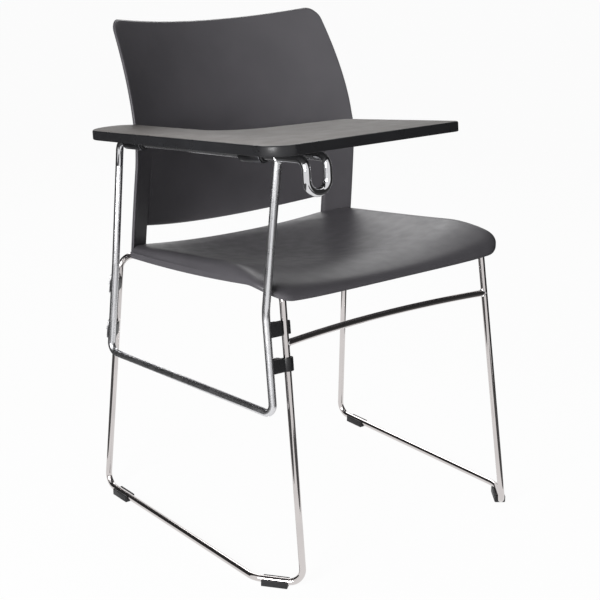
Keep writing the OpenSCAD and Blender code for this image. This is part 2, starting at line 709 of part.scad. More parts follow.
// Works in a frame at the leg: +X to the post, +Z up the leg, +Y forward or inboard
module at_clip(front, z) {
    leg = front ? front_leg(right, z) : rear_leg(right, z);
    up = unit(front ? front_leg(right, z + 1) - leg : rear_leg(right, z + 1) - leg);
    post = front ? at_height(front_post_low, front_post_kink, z)
        : at_height(rear_post_low, rear_post_kink, z);
    flat_way = post - leg - ((post - leg) * up) * up;
    $span = norm(flat_way);
    $plate_h = front ? clip_h : rear_plate_h;
    frame_at(unit(flat_way), cross(up, unit(flat_way)), up, leg) children();
}
module each_clip() {
    for (z = front_clip_heights) at_clip(true, z) children();
    for (z = rear_clip_heights) at_clip(false, z) children();
}
module post_bars(rod) {
    bar(front_post_low, front_post_kink, rod);
    bar(rear_post_low, rear_post_kink, rod);
}
module clip_tab_blank() {
    tab_in = frame_rod_d / 2 + clip_wall;
    translate([tab_in, -clip_tab_t / 2, clip_tab_margin - clip_h / 2])
        cube([$span - tab_in, clip_tab_t, clip_h - 2 * clip_tab_margin]);
}
module clip_screw_axis()
    translate([(frame_rod_d / 2 + clip_wall + $span - arm_rod_d / 2 - plate_margin) / 2, 0, 0])
    rotate([90, 0, 0]) children();
module clip_screw_blank(d) clip_screw_axis() {
    cylinder(d = d, h = clip_w / 2 + plate_t);
    mirror([0, 0, 1]) cylinder(d = d, h = clip_w / 5);
}

module clip(front, z, open) difference() {
    at_clip(front, z) difference() {
        union() {
            cylinder(d = frame_rod_d + 2 * clip_wall, h = clip_h, center = true);
            translate([0, -clip_w / 2, -clip_h / 2]) cube([$span, clip_w / 2 + clip_front, clip_h]);
        }
        cylinder(d = frame_rod_d + 2 * fit, h = 2 * clip_h, center = true);
        translate([-clip_w, open > 0 ? clip_grip : -clip_grip - clip_w, -clip_h])
            cube([clip_w + frame_rod_d / 2 + clip_wall, clip_w, 2 * clip_h]);
        clip_tab_blank();
        clip_screw_blank(clip_screw_d);
    }
    post_bars(arm_rod_d + 2 * fit);
}
module front_upper_clip() color(black) centred() clip(true, front_upper_clip_z, 1);
module front_lower_clip() color(black) centred() clip(true, front_lower_clip_z, -1);
module rear_upper_clip() color(black) centred() clip(false, rear_upper_clip_z, 1);
module rear_lower_clip() color(black) centred() clip(false, rear_lower_clip_z, 1);

module clip_tabs() color(steel) centred() difference() {
    each_clip() difference() {
        clip_tab_blank();
        clip_screw_blank(clip_screw_d);
    }
    post_bars(arm_rod_d);
}

module clip_plates() color(bright_chrome) centred() each_clip() difference() {
    plate_in = frame_rod_d / 2 + clip_wall;
    translate([plate_in, -clip_w / 2 - plate_t, -$plate_h / 2])
        cube([$span - arm_rod_d / 2 - plate_margin - plate_in, plate_t, $plate_h]);
    clip_screw_blank(clip_screw_d);
}

module clip_screws() color(bright_chrome) centred() each_clip() {
    clip_screw_blank(clip_screw_d);
    clip_screw_axis() translate([0, 0, clip_w / 2 + plate_t])
        cylinder(d = clip_screw_head_d, h = clip_screw_head_h);
}

// Tablet: a core between two laminates, with a band round its edge
tablet_cove_y = 124;
front_out_r = 39;
front_in_r = 9;
mid_in_r = 18;
rear_in_r = 33;
rear_out_r = 58;
tablet_outline = [
    [-tablet_out, -tablet_front_y],
    [tablet_in, -tablet_front_y],
    [tablet_mid_x, -tablet_mid_y],
    [armrest_in, -tablet_cove_y],
    [armrest_in, tablet_rear_y],
    [-tablet_out, tablet_rear_y]];
tablet_radii = [front_out_r, front_in_r, mid_in_r, tablet_cove_r, rear_in_r, rear_out_r];
module tablet_layer(low, high, inset) translate([0, 0, low])
    linear_extrude(high - low) polygon(rounded(tablet_outline, tablet_radii, inset));

module tablet_core() color(board) centred() tablet_plane() difference() {
    tablet_layer(board_low + laminate_t, board_high - laminate_t, band_t);
    each_hinge_screw() cylinder(d = hinge_screw_d, h = hinge_screw_l);
}
module tablet_laminate() color(laminate) centred() tablet_plane()
    tablet_layer(board_high - laminate_t, board_high, band_t);
module tablet_backer() color(black) centred() tablet_plane() difference() {
    tablet_layer(board_low, board_low + laminate_t, band_t);
    each_hinge_screw() cylinder(d = hinge_screw_d, h = hinge_screw_l);
}
module tablet_edge_band() color(black) centred() tablet_plane() difference() {
    tablet_layer(board_low, board_high, 0);
    tablet_layer(board_low - laminate_t, board_high + laminate_t, band_t);
}

// Hinges: a steel saddle under the tablet holds a bush that turns on the pivot rod
bush_r = arm_rod_d / 2 + bush_play + bush_wall;
bush_proud = 4;
flange_w = 14;
flange_x = bush_r + saddle_t + flange_w;
hinge_screw_d = 4;
hinge_screw_l = 12;
hinge_screw_head_d = 8;
hinge_screw_head_h = 2.2;
hinge_screw_in = 10;
hinge_screw_x = flange_x - flange_w / 2;
saddle_ys = [-front_saddle_y, rear_saddle_y];
module each_hinge_screw() for (y = saddle_ys) for (dy = [-1, 1]) for (dx = [-1, 1])
    translate([dx * hinge_screw_x, y + dy * (saddle_l / 2 - hinge_screw_in), board_low]) children();

module saddle(y) tablet_plane() difference() {
    translate([0, y, 0]) rotate([90, 0, 0]) linear_extrude(saddle_l, center = true) difference() {
        union() {
            circle(r = bush_r + saddle_t);
            translate([-bush_r - saddle_t, 0]) square([2 * (bush_r + saddle_t), board_low]);
            translate([-flange_x, board_low - saddle_t]) square([2 * flange_x, saddle_t]);
        }
        circle(r = bush_r);
        translate([-bush_r, 0]) square([2 * bush_r, 2 * board_low]);
    }
    each_hinge_screw() cylinder(d = hinge_screw_d, h = 3 * saddle_t, center = true);
}
module front_hinge_saddle() color(bright_chrome) centred() saddle(-front_saddle_y);
module rear_hinge_saddle() color(bright_chrome) centred() saddle(rear_saddle_y);

module bush(y) tablet_plane() translate([0, y, 0]) rotate([90, 0, 0]) difference() {
    cylinder(r = bush_r, h = saddle_l + 2 * bush_proud, center = true);
    cylinder(d = arm_rod_d + 2 * bush_play, h = 2 * saddle_l, center = true);
}
module front_hinge_bush() color(black) centred() bush(-front_saddle_y);
module rear_hinge_bush() color(black) centred() bush(rear_saddle_y);

module hinge_screws() color(steel) centred() tablet_plane() each_hinge_screw() {
    translate([0, 0, -saddle_t]) cylinder(d = hinge_screw_d, h = saddle_t + hinge_screw_l);
    translate([0, 0, -saddle_t - hinge_screw_head_h])
        cylinder(d = hinge_screw_head_d, h = hinge_screw_head_h);
}

// Pad under the tablet, just clear of the rest rod
rest_gap = 0.3;
pad_w = 14;
pad_margin = 6;
pad_front_y = pivot_bend_r - hook_y + pad_margin;
pad_rear_y = rest_end_y - cap_l - pad_margin;
module tablet_rest_pad() color(black) centred() tablet_plane()
    translate([hook_w - pad_w / 2, pad_front_y, board_low - hinge_gap + rest_gap])
    cube([pad_w, pad_rear_y - pad_front_y, hinge_gap - rest_gap]);

right_side_frame();
left_side_frame();
front_crossbar();
rear_crossbar();
right_back_upright();
left_back_upright();
seat_tabs();
seat_shell();
seat_screws();
back_shell();
back_screws();
front_right_glide();
rear_right_glide();
front_left_glide();
rear_left_glide();
arm_frame();
pivot_rod();
rest_rod_cap();
front_upper_clip();
front_lower_clip();
rear_upper_clip();
rear_lower_clip();
clip_tabs();
clip_plates();
clip_screws();
tablet_core();
tablet_laminate();
tablet_backer();
tablet_edge_band();
front_hinge_saddle();
rear_hinge_saddle();
front_hinge_bush();
rear_hinge_bush();
hinge_screws();
tablet_rest_pad();
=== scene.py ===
# %% [markdown]
# # A student desk chair
# A stacking classroom chair: two bent rods make the sled base, a moulded seat and back sit on them,
# and a second set of rods, clipped to the right legs, carries a writing tablet that flips up.
# The CAD model is the fixed frame. Every piece below is modelled in the chair's own millimetres,
# measured from its middle plane and the floor, and one matrix moves it into the frame at the end.

# %% Load the frame
import math

import bmesh
import bpy
from mathutils import Matrix, Vector


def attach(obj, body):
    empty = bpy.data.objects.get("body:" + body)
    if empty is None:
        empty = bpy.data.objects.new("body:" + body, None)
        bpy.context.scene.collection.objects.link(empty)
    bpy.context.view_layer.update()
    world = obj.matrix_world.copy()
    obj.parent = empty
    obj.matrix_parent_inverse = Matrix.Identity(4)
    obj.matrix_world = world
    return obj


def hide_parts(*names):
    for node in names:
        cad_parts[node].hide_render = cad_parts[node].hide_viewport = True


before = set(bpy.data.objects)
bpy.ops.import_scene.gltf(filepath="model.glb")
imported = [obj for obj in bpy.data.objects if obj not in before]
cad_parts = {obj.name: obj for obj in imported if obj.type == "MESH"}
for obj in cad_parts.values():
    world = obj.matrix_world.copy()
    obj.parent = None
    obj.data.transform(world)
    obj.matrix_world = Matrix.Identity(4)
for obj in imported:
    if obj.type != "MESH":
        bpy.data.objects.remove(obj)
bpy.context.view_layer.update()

# %% [markdown]
# ## Where things are
# The CAD part stands on the middle of its own box, so the chair's middle plane is a little to one
# side. `TO_ROW` undoes that and turns millimetres into metres. The tablet lies on a plane that is
# tilted fore and aft along the pivot rod, so it has a matrix of its own. Each piece could be placed
# by hand instead, but with shared frames every piece lands where the CAD has it.

# %% Frames of reference
BOX_MIDDLE = Vector((-20.1454, -39.6616, 0))
TO_ROW = Matrix.Scale(0.001, 4) @ Matrix.Translation(-BOX_MIDDLE)
PIVOT = Vector((-263.5, 0, 657.5))
TABLET_TILT = math.radians(5.1)
TABLET_PLANE = Matrix.Translation(PIVOT) @ Matrix.Rotation(-TABLET_TILT, 4, "X")
RIGHT, LEFT = -1, 1
UP = Vector((0, 0, 1))
ROD_R = 5.5
ARM_R = 6.25


def on_pivot(x, y, z):
    return TABLET_PLANE @ Vector((x, y, z))


def at_height(a, b, z):
    return a.lerp(b, (z - a.z) / (b.z - a.z))


def at_depth(a, b, y):
    return a.lerp(b, (y - a.y) / (b.y - a.y))


def axes(x, y, z, place):
    """Matrix with the given axes and origin."""
    return Matrix.Translation(place) @ Matrix((x, y, z)).transposed().to_4x4()


def mix(a, b, t):
    return a + (b - a) * t


def clamp(t):
    return max(0.0, min(1.0, t))


def smooth(t):
    t = clamp(t)
    return t * t * (3 - 2 * t)


print("pivot axis:", [round(v, 4) for v in TO_ROW @ PIVOT])

# %% [markdown]
# ## Node helpers for the finishes
# Every finish is a Principled shader with a little life in it: colour and roughness drift with slow
# noise, and a fine bump gives the surface its grain. All patterns read Object coordinates, in metres,
# so that they stay on the piece when it moves.

# %% Finish helper
GRAIN_DEPTH = 0.0002


def drift(tree, coords, scale, low, high, stretch=(1, 1, 1), detail=3.0):
    """Noise mapped to a range, as a value socket."""
    place = tree.nodes.new("ShaderNodeMapping")
    place.inputs["Scale"].default_value = stretch
    noise = tree.nodes.new("ShaderNodeTexNoise")
    noise.inputs["Scale"].default_value = scale
    noise.inputs["Detail"].default_value = detail
    spread = tree.nodes.new("ShaderNodeMapRange")
    spread.inputs["From Min"].default_value = 0.3
    spread.inputs["From Max"].default_value = 0.7
    spread.inputs["To Min"].default_value = low
    spread.inputs["To Max"].default_value = high
    tree.links.new(coords, place.inputs["Vector"])
    tree.links.new(place.outputs["Vector"], noise.inputs["Vector"])
    tree.links.new(noise.outputs["Fac"], spread.inputs["Value"])
    return spread.outputs["Result"]


def finish(name, light, dark, rough, metal=0.0, grain=0.0, grain_scale=900.0, patch=12.0, rough_scale=45.0,
           specular=0.5, stretch=(1, 1, 1)):
    """Principled finish: colour between dark and light, roughness in a range, a fine grain as bump."""
    material = bpy.data.materials.new(name)
    material.use_nodes = True
    tree = material.node_tree
    shader = tree.nodes["Principled BSDF"]
    shader.inputs["Metallic"].default_value = metal
    shader.inputs["Specular IOR Level"].default_value = specular
    coords = tree.nodes.new("ShaderNodeTexCoord").outputs["Object"]
    blend = tree.nodes.new("ShaderNodeMix")
    blend.data_type = "RGBA"
    blend.inputs["A"].default_value = (*dark, 1)
    blend.inputs["B"].default_value = (*light, 1)
    tree.links.new(drift(tree, coords, patch, 0, 1, stretch), blend.inputs["Factor"])
    tree.links.new(blend.outputs["Result"], shader.inputs["Base Color"])
    tree.links.new(drift(tree, coords, rough_scale, *rough, stretch), shader.inputs["Roughness"])
    if grain:
        bump = tree.nodes.new("ShaderNodeBump")
        bump.inputs["Strength"].default_value = grain
        bump.inputs["Distance"].default_value = GRAIN_DEPTH
        tree.links.new(drift(tree, coords, grain_scale, 0, 1, stretch, 2.0), bump.inputs["Height"])
        tree.links.new(bump.outputs["Normal"], shader.inputs["Normal"])
    return material


print("grain is", GRAIN_DEPTH * 1000, "mm deep at full strength")

# %% [markdown]
# The chair's own colours: charcoal mouldings with a trace of violet, bright chrome on the base, a
# softer shine on the support's frame, a warm grey laminate and black trim. The hinge steel alone is
# darkened below its own colour, as painted dark reflection and shade. Chrome is almost a mirror, so its
# roughness hardly varies. Painted pictures could give the same surfaces, but noise needs no file and
# stays fine at any distance.

# %% The finishes
SHELL = finish("charcoal_shell", (0.083, 0.079, 0.087), (0.073, 0.070, 0.077), (0.38, 0.48), grain=0.16,
               grain_scale=1100, specular=0.42)
FRAME_CHROME = finish("frame_chrome", (0.66, 0.625, 0.615), (0.58, 0.55, 0.545), (0.045, 0.085), metal=1.0)
ARM_CHROME = finish("support_chrome", (0.70, 0.70, 0.715), (0.62, 0.62, 0.64), (0.05, 0.09), metal=1.0)
SATIN = finish("support_satin", (0.72, 0.72, 0.735), (0.64, 0.64, 0.66), (0.24, 0.32), metal=1.0)
WELD = finish("chromed_weld", (0.70, 0.70, 0.70), (0.55, 0.55, 0.56), (0.15, 0.30), metal=1.0, grain=0.5,
              grain_scale=500)
ZINC = finish("zinc_plate", (0.62, 0.62, 0.63), (0.50, 0.50, 0.52), (0.42, 0.55), metal=0.35, grain=0.1)
# Hinge saddle steel, darkened far below bare steel: a painted dark reflection and shade.
STEEL_DARKENED_AS_SHADE = finish("steel_with_painted_dark_reflection", (0.16, 0.16, 0.17), (0.11, 0.11, 0.12), (0.28, 0.40), metal=1.0, grain=0.1)
BLACK = finish("black_moulding", (0.016, 0.016, 0.017), (0.011, 0.011, 0.012), (0.38, 0.55), grain=0.2,
               specular=0.3)
BAND = finish("black_edge_band", (0.019, 0.019, 0.021), (0.014, 0.014, 0.015), (0.26, 0.36), grain=0.08,
              grain_scale=700, specular=0.3)
LAMINATE = finish("grey_laminate", (0.214, 0.198, 0.188), (0.186, 0.172, 0.163), (0.52, 0.62), grain=0.12,
                  grain_scale=1600, patch=900, specular=0.2)
BACKER = finish("dark_backer", (0.022, 0.022, 0.023), (0.016, 0.016, 0.017), (0.5, 0.65), grain=0.1)
BOARD = finish("raw_board", (0.55, 0.40, 0.24), (0.40, 0.28, 0.16), (0.7, 0.85), grain=0.4, patch=160,
               stretch=(1, 0.12, 1))
RUBBER = finish("black_rubber", (0.014, 0.014, 0.014), (0.010, 0.010, 0.010), (0.6, 0.75), grain=0.2)
print("finishes:", len(bpy.data.materials))

# %% [markdown]
# ## From bmesh to a piece
# Doing this in one function keeps all pieces alike: merged, facing outwards, smooth, and sharp only
# at real edges.

# %% Piece helper
MERGE = 0.002


def piece(name, bm, material, body, nodes, sharp=35):
    bmesh.ops.remove_doubles(bm, verts=bm.verts, dist=MERGE)
    bmesh.ops.recalc_face_normals(bm, faces=bm.faces)
    bmesh.ops.transform(bm, matrix=TO_ROW, verts=bm.verts)
    mesh = bpy.data.meshes.new(name)
    bm.to_mesh(mesh)
    open_edges = sum(not e.is_manifold for e in bm.edges)
    bm.free()
    mesh.polygons.foreach_set("use_smooth", [True] * len(mesh.polygons))
    mesh.set_sharp_from_angle(angle=math.radians(sharp))
    obj = bpy.data.objects.new(name, mesh)
    bpy.context.scene.collection.objects.link(obj)
    mesh.materials.append(material)
    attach(obj, body)
    if nodes:
        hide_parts(*nodes)
    print(name, "faces", len(mesh.polygons), "open edges", open_edges)
    return obj


print("points closer than", MERGE, "mm are merged")

# %% [markdown]
# ## Bent rods
# The real frame is one steel rod run through a bender. The model is made the same way: a circle is
# pushed along each straight with an extrude and carried round each bend with a spin. A curve with
# a round bevel would also do, but its bends are splines, and here they are true arcs.

# %% Sweep a profile along a bent path
BEND_STEP = math.radians(5)


def only_verts(geom):
    return [g for g in geom if isinstance(g, bmesh.types.BMVert)]


def only_edges(geom):
    return [g for g in geom if isinstance(g, bmesh.types.BMEdge)]


def push(bm, profile, move):
    """Extrude the profile by a vector and return its new end."""
    edges = only_edges(profile)
    if edges:
        geom = bmesh.ops.extrude_edge_only(bm, edges=edges)["geom"]
    else:
        geom = bmesh.ops.extrude_vert_indiv(bm, verts=profile)["verts"]
    new = only_verts(geom)
    bmesh.ops.translate(bm, verts=new, vec=move)
    on_end = set(new)
    return new + [e for e in only_edges(geom) if set(e.verts) <= on_end]


def sweep(bm, profile, path, radii, step=BEND_STEP):
    """Carry a profile from the path's first point to its last, with an arc at each point between."""
    for i in range(1, len(path)):
        along = (path[i] - path[i - 1]).normalized()
        start = path[i - 1] if i == 1 else bend_end
        if i == len(path) - 1:
            return push(bm, profile, path[i] - start)
        onward = (path[i + 1] - path[i]).normalized()
        turn = along.angle(onward)
        cut = radii[i] * math.tan(turn / 2)
        profile = push(bm, profile, path[i] - along * cut - start)
        axis = along.cross(onward).normalized()
        steps = max(2, math.ceil(turn / step))
        centre = path[i] - along * cut + axis.cross(along) * radii[i]
        spun = bmesh.ops.spin(bm, geom=profile, cent=centre, axis=axis, angle=turn, steps=steps)
        profile = only_verts(spun["geom_last"]) + only_edges(spun["geom_last"])
        bend_end = path[i] + onward * cut


print("a bend of 90 degrees takes", math.ceil(math.pi / 2 / BEND_STEP), "steps")

# %% [markdown]
# A rod starts as a circle that faces along its path. Its ends get a cap with a small bevel, as a
# sawn and tumbled rod has. Where the path is a closed loop there are no caps, and the first and last
# rings are bridged, because rings that have been through many bends needn't line up point by point.

# %% Rod
ROUND = 28
END_BEVEL = 0.8


def facing(point, way):
    """Matrix at a point with +Z along a direction."""
    return Matrix.Translation(point) @ way.to_track_quat("Z", "Y").to_matrix().to_4x4()


def soften(bm, edges, width, segments=3, clamp_overlap=True):
    bmesh.ops.bevel(bm, geom=edges, offset=width, offset_type="OFFSET", segments=segments, profile=0.5,
                    affect="EDGES", material=-1, clamp_overlap=clamp_overlap)


def rod(bm, path, radius, radii, capped=True, step=BEND_STEP):
    start = bmesh.ops.create_circle(bm, segments=ROUND, radius=radius,
                                    matrix=facing(path[0], path[1] - path[0]))
    first = list({e for v in start["verts"] for e in v.link_edges})
    last = only_edges(sweep(bm, start["verts"] + first, path, radii, step))
    if capped:
        bmesh.ops.contextual_create(bm, geom=first)
        bmesh.ops.contextual_create(bm, geom=last)
        soften(bm, first + last, END_BEVEL, 2)
    else:
        bmesh.ops.bridge_loops(bm, edges=first + last)


print("rods have", ROUND, "sides")

# %% [markdown]
# ## The sled base
# Each side frame is one closed loop: runner, legs, rear corner and the rail under the seat. The loop
# starts and ends in the middle of its rear leg, on a straight, where the bridge between its two end
# rings doesn't show.

# %% Side frames
FRONT_FOOT, RUNNER_BEND, REAR_FOOT = Vector((223, -291, 9)), Vector((272, -228, 9)), Vector((276, 214, 9))
REAR_TOP, RAIL_REAR = Vector((252.5, 175, 438)), Vector((172, 175.33, 438))
FRONT_TOP = Vector((211, -224, 461))
FOOT_R, RUNNER_R, CORNER_R, FRONT_R = 22, 40, 20, 13
SIDE = [(FRONT_FOOT, FOOT_R), (RUNNER_BEND, RUNNER_R), (REAR_FOOT, FOOT_R), (REAR_TOP, CORNER_R),
        (RAIL_REAR, CORNER_R), (FRONT_TOP, FRONT_R)]


def hand(p, s):
    return Vector((p.x * s, p.y, p.z))


def front_leg(s, z):
    return hand(at_height(FRONT_FOOT, FRONT_TOP, z), s)


def rear_leg(s, z):
    return hand(at_height(REAR_FOOT, REAR_TOP, z), s)


def rail(s, y):
    return hand(at_depth(RAIL_REAR, FRONT_TOP, y), s)


LOOP_START_Z, LOOP_GAP = 220, 4
for side, word in ((RIGHT, "right"), (LEFT, "left")):
    bm = bmesh.new()
    order = SIDE[3:] + SIDE[:3]
    path = [rear_leg(side, LOOP_START_Z)] + [hand(p, side) for p, r in order]
    path.append(rear_leg(side, LOOP_START_Z - LOOP_GAP))
    rod(bm, path, ROD_R, [0] + [r for p, r in order] + [0], capped=False)
    piece(f"{word}_sled_rod", bm, FRAME_CHROME, "chair", [f"{word}_side_frame"])

# %% [markdown]
# Two rods tie the sides together: a bowed one between the front legs, and a straight one welded under
# the rails at the rear. Their ends run into the rods that they are welded to. The bow is one long bend
# of a very large radius, so it is swept like any other bend, in finer steps.

# %% Crossbars
CROSSBAR_Z, CROSSBAR_BOW, CROSSBAR_END = 386, 17, 25
BOW_STEP = math.radians(0.5)
bar_end = front_leg(LEFT, CROSSBAR_Z)
bow_slope = 2 * CROSSBAR_BOW / (bar_end.x + CROSSBAR_END)
bow_radius = (bar_end.x / math.cos(math.atan(bow_slope)) - CROSSBAR_END) / bow_slope
bar_middle = Vector((0, bar_end.y + bar_end.x * bow_slope, CROSSBAR_Z))
bm = bmesh.new()
rod(bm, [hand(bar_end, RIGHT), bar_middle, bar_end], ROD_R, [0, bow_radius, 0], step=BOW_STEP)
piece("bowed_front_rod", bm, FRAME_CHROME, "chair", ["front_crossbar"])

REAR_BAR_Y, WELD_BITE = 118, 0.4
rear_end = rail(LEFT, REAR_BAR_Y) - UP * (2 * ROD_R - WELD_BITE)
bm = bmesh.new()
rod(bm, [hand(rear_end, RIGHT), rear_end], ROD_R, [0, 0])
piece("rear_tie_rod", bm, FRAME_CHROME, "chair", ["rear_crossbar"])

# %% [markdown]
# ## The tablet's support
# A heavier rod makes a frame beside the right legs: front post, lower bar and rear post. A second one
# turns over at the rear post, runs forward under the tablet as its hinge pin, and bends down into the
# bag hook and back up to a rest for the tablet. Both are rods like those of the base, so the same
# sweep makes them, and only their points and radii differ.

# %% Support rods
FRONT_POST_OFF, REAR_POST_OFF = Vector((-33, 0, 0)), Vector((-26, -27, 0))
LOW_FRONT_Z, LOW_REAR_Z, KINK_Z, KINK_R, ARM_BEND_R = 283, 281, 438, 60, 16
front_low = front_leg(RIGHT, LOW_FRONT_Z) + FRONT_POST_OFF
front_kink = front_leg(RIGHT, KINK_Z) + FRONT_POST_OFF
rear_low = rear_leg(RIGHT, LOW_REAR_Z) + REAR_POST_OFF
rear_kink = rear_leg(RIGHT, KINK_Z) + REAR_POST_OFF
PIVOT_REAR_Y, PIVOT_FRONT_Y, JOINT_DROP = 143, 285, 40
HOOK_Y, HOOK_W, HOOK_DROP, HOOK_FLAT, REST_L, PIVOT_BEND_R = 347, 37, 46.5, 0.8, 108, 15
front_top, rear_top = on_pivot(0, -PIVOT_FRONT_Y, 0), on_pivot(0, PIVOT_REAR_Y, 0)
rear_joint = rear_top + (rear_kink - rear_top).normalized() * JOINT_DROP
REST_END_Y = REST_L - HOOK_Y

bm = bmesh.new()
rod(bm, [front_top, front_kink, front_low, rear_low, rear_kink, rear_joint], ARM_R,
    [0, KINK_R, ARM_BEND_R, ARM_BEND_R, KINK_R, 0])
piece("support_frame_rod", bm, SATIN, "chair", ["arm_frame"])

bm = bmesh.new()
hook_r = (HOOK_W - HOOK_FLAT) / 2
hook_path = [on_pivot(0, -HOOK_Y, 0), on_pivot(0, -HOOK_Y, -HOOK_DROP), on_pivot(HOOK_W, -HOOK_Y, -HOOK_DROP),
             on_pivot(HOOK_W, -HOOK_Y, 0), on_pivot(HOOK_W, REST_END_Y, 0)]
hook_radii = [PIVOT_BEND_R, PIVOT_BEND_R, hook_r, hook_r, PIVOT_BEND_R]
rod(bm, [rear_joint, rear_top] + hook_path, ARM_R, [0] + hook_radii + [0])
piece("hinge_pin_and_hook_rod", bm, ARM_CHROME, "chair", ["pivot_rod"])

# %% [markdown]
# Where one rod is welded to another, a thin bead runs round the joint. It is a torus from a full spin,
# and each of its points then slides along the joining rod until it lies on the other rod's surface.
# A Boolean would find the same line, but it leaves no rounded bead and breaks up the rods' mesh.

# %% Weld beads
BEAD_R, BEAD_STEPS, RIPPLES, RIPPLE_H = 1.3, 56, 22, 0.18


def bead(bm, joint, way, main, branch_r, main_r):
    """Bead round a branch rod that leaves a main rod at a joint on both axes."""
    on_edge = Matrix.Translation((branch_r, 0, 0)) @ Matrix.Rotation(math.pi / 2, 4, "X")
    ring = bmesh.ops.create_circle(bm, segments=8, radius=BEAD_R, matrix=on_edge)
    geom = ring["verts"] + list({e for v in ring["verts"] for e in v.link_edges})
    before = set(bm.verts) - set(ring["verts"])
    bmesh.ops.spin(bm, geom=geom, cent=(0, 0, 0), axis=(0, 0, 1), angle=2 * math.pi, steps=BEAD_STEPS,
                   use_merge=True)
    new = [v for v in bm.verts if v not in before]
    for v in new:
        turn = math.atan2(v.co.y, v.co.x)
        ripple = RIPPLE_H * math.sin(RIPPLES * turn)
        v.co.z += math.sqrt(max(0.0, main_r ** 2 - (branch_r * math.sin(turn)) ** 2)) + ripple
    z = way.normalized()
    y = z.cross(main).normalized()
    bmesh.ops.transform(bm, matrix=axes(y.cross(z), y, z, joint), verts=new)


bm = bmesh.new()
leg_way = FRONT_TOP - FRONT_FOOT
for side in (RIGHT, LEFT):
    end = hand(bar_end, side)
    bead(bm, end, bar_middle - end, hand(leg_way, side), ROD_R, ROD_R)
piece("crossbar_weld_beads", bm, WELD, "chair", [])
bm = bmesh.new()
bead(bm, front_top, front_kink - front_top, on_pivot(0, 1, 0) - on_pivot(0, 0, 0), ARM_R, ARM_R)
piece("support_weld_bead", bm, WELD, "chair", [])

# %% [markdown]
# ## Flat outlines
# Glides, clips and the tablet are all a flat outline pulled up into a slab. An outline is drawn with a
# pen: one vertex is extruded to the next point, or spun round a centre where the edge is an arc. The
# closed wire is filled with one face, and the face is extruded.

# %% Pen and slab
ARC_STEP = 7


def pen_line(bm, vert, x, y):
    new = bmesh.ops.extrude_vert_indiv(bm, verts=[vert])["verts"][0]
    new.co = (x, y, 0)
    return new


def pen_arc(bm, vert, centre, degrees):
    steps = max(3, math.ceil(abs(degrees) / ARC_STEP))
    spun = bmesh.ops.spin(bm, geom=[vert], cent=(*centre, 0), axis=(0, 0, 1), angle=math.radians(degrees),
                          steps=steps)
    return only_verts(spun["geom_last"])[0]


def fill(bm):
    """Close the drawn wire and fill it with one face."""
    bmesh.ops.remove_doubles(bm, verts=bm.verts, dist=0.01)
    return bmesh.ops.contextual_create(bm, geom=bm.edges[:])["faces"]


def slab(bm, faces, height):
    """Extrude faces up by a height and return the level edges at both ends."""
    geom = bmesh.ops.extrude_face_region(bm, geom=faces)["geom"]
    bmesh.ops.translate(bm, verts=only_verts(geom), vec=(0, 0, height))
    return [e for e in bm.edges if abs(e.verts[0].co.z - e.verts[1].co.z) < 1e-3]


def rounded_outline(bm, corners, step=BEND_STEP):
    """Wire along closed (x, y, radius) corners, from the middle of its last side."""
    points = [Vector((x, y, 0)) for x, y, r in corners]
    start = (points[-1] + points[0]) / 2
    vert = bmesh.ops.create_vert(bm, co=start)["vert"]
    sweep(bm, vert, [start] + points + [start], [0] + [r for x, y, r in corners] + [0], step)


print("arcs drawn with the pen turn", ARC_STEP, "degrees a step")

# %% [markdown]
# ## Glides
# Black channels are snapped on the runners, so that the chair slides quietly. The section is a U that
# grips a little more than half of the rod, with a flat sole. It could be cut from a block, but a real
# glide has one section all along, so the section is drawn and pulled to its length.

# %% Glides
GLIDE_HALF, GLIDE_RISE, GLIDE_L, GLIDE_GAP, SOLE, RODS_FIT = 9.5, 3, 42, 8, 9, 0.1
SOLE_R, LIP_R, LIP_IN_R, MOULD_BREAK, HAIR = 2.2, 1.2, 1.0, 0.7, 0.01


def turn_cut(before, at, after, radius):
    return radius * math.tan((at - before).angle(after - at) / 2)


def glide(name, start, end, along, node):
    bm = bmesh.new()
    bore = ROD_R + RODS_FIT
    half = [(GLIDE_HALF, -SOLE, SOLE_R), (GLIDE_HALF, GLIDE_RISE, LIP_R), (bore, GLIDE_RISE, LIP_IN_R),
            (bore, -bore, bore - HAIR)]
    rounded_outline(bm, half + [(-x, y, r) for x, y, r in reversed(half)])
    ends = slab(bm, fill(bm), GLIDE_L)
    soften(bm, ends, MOULD_BREAK, 2, clamp_overlap=False)
    way = (end - start).normalized()
    across = UP.cross(way)
    middle = start + way * (along - GLIDE_L / 2)
    bmesh.ops.transform(bm, matrix=axes(across, UP, across.cross(UP), middle), verts=bm.verts)
    piece(name, bm, BLACK, "chair", [node])


for side, word in ((RIGHT, "right"), (LEFT, "left")):
    foot, bend, heel, top = [hand(p, side) for p in (FRONT_FOOT, RUNNER_BEND, REAR_FOOT, REAR_TOP)]
    first = turn_cut(hand(FRONT_TOP, side), foot, bend, FOOT_R)
    last = turn_cut(foot, bend, heel, RUNNER_R)
    glide(f"{word}_toe_glide", foot, bend, (first + (bend - foot).length - last) / 2, f"front_{word}_glide")
    rear = (heel - bend).length - turn_cut(bend, heel, top, FOOT_R) - GLIDE_GAP - GLIDE_L / 2
    glide(f"{word}_heel_glide", bend, heel, rear, f"rear_{word}_glide")

# %% [markdown]
# ## Screws
# All fasteners are button-head screws with a hexagon socket. The head and shank are half an outline
# spun round the axis. The socket is a hexagon, bridged to the head's flat top and pushed in, which
# keeps the mesh closed without a Boolean.

# %% Lathe and screw
FLAT_SHARE, SOCKET_SHARE, SOCKET_DEPTH = 0.62, 0.72, 0.7


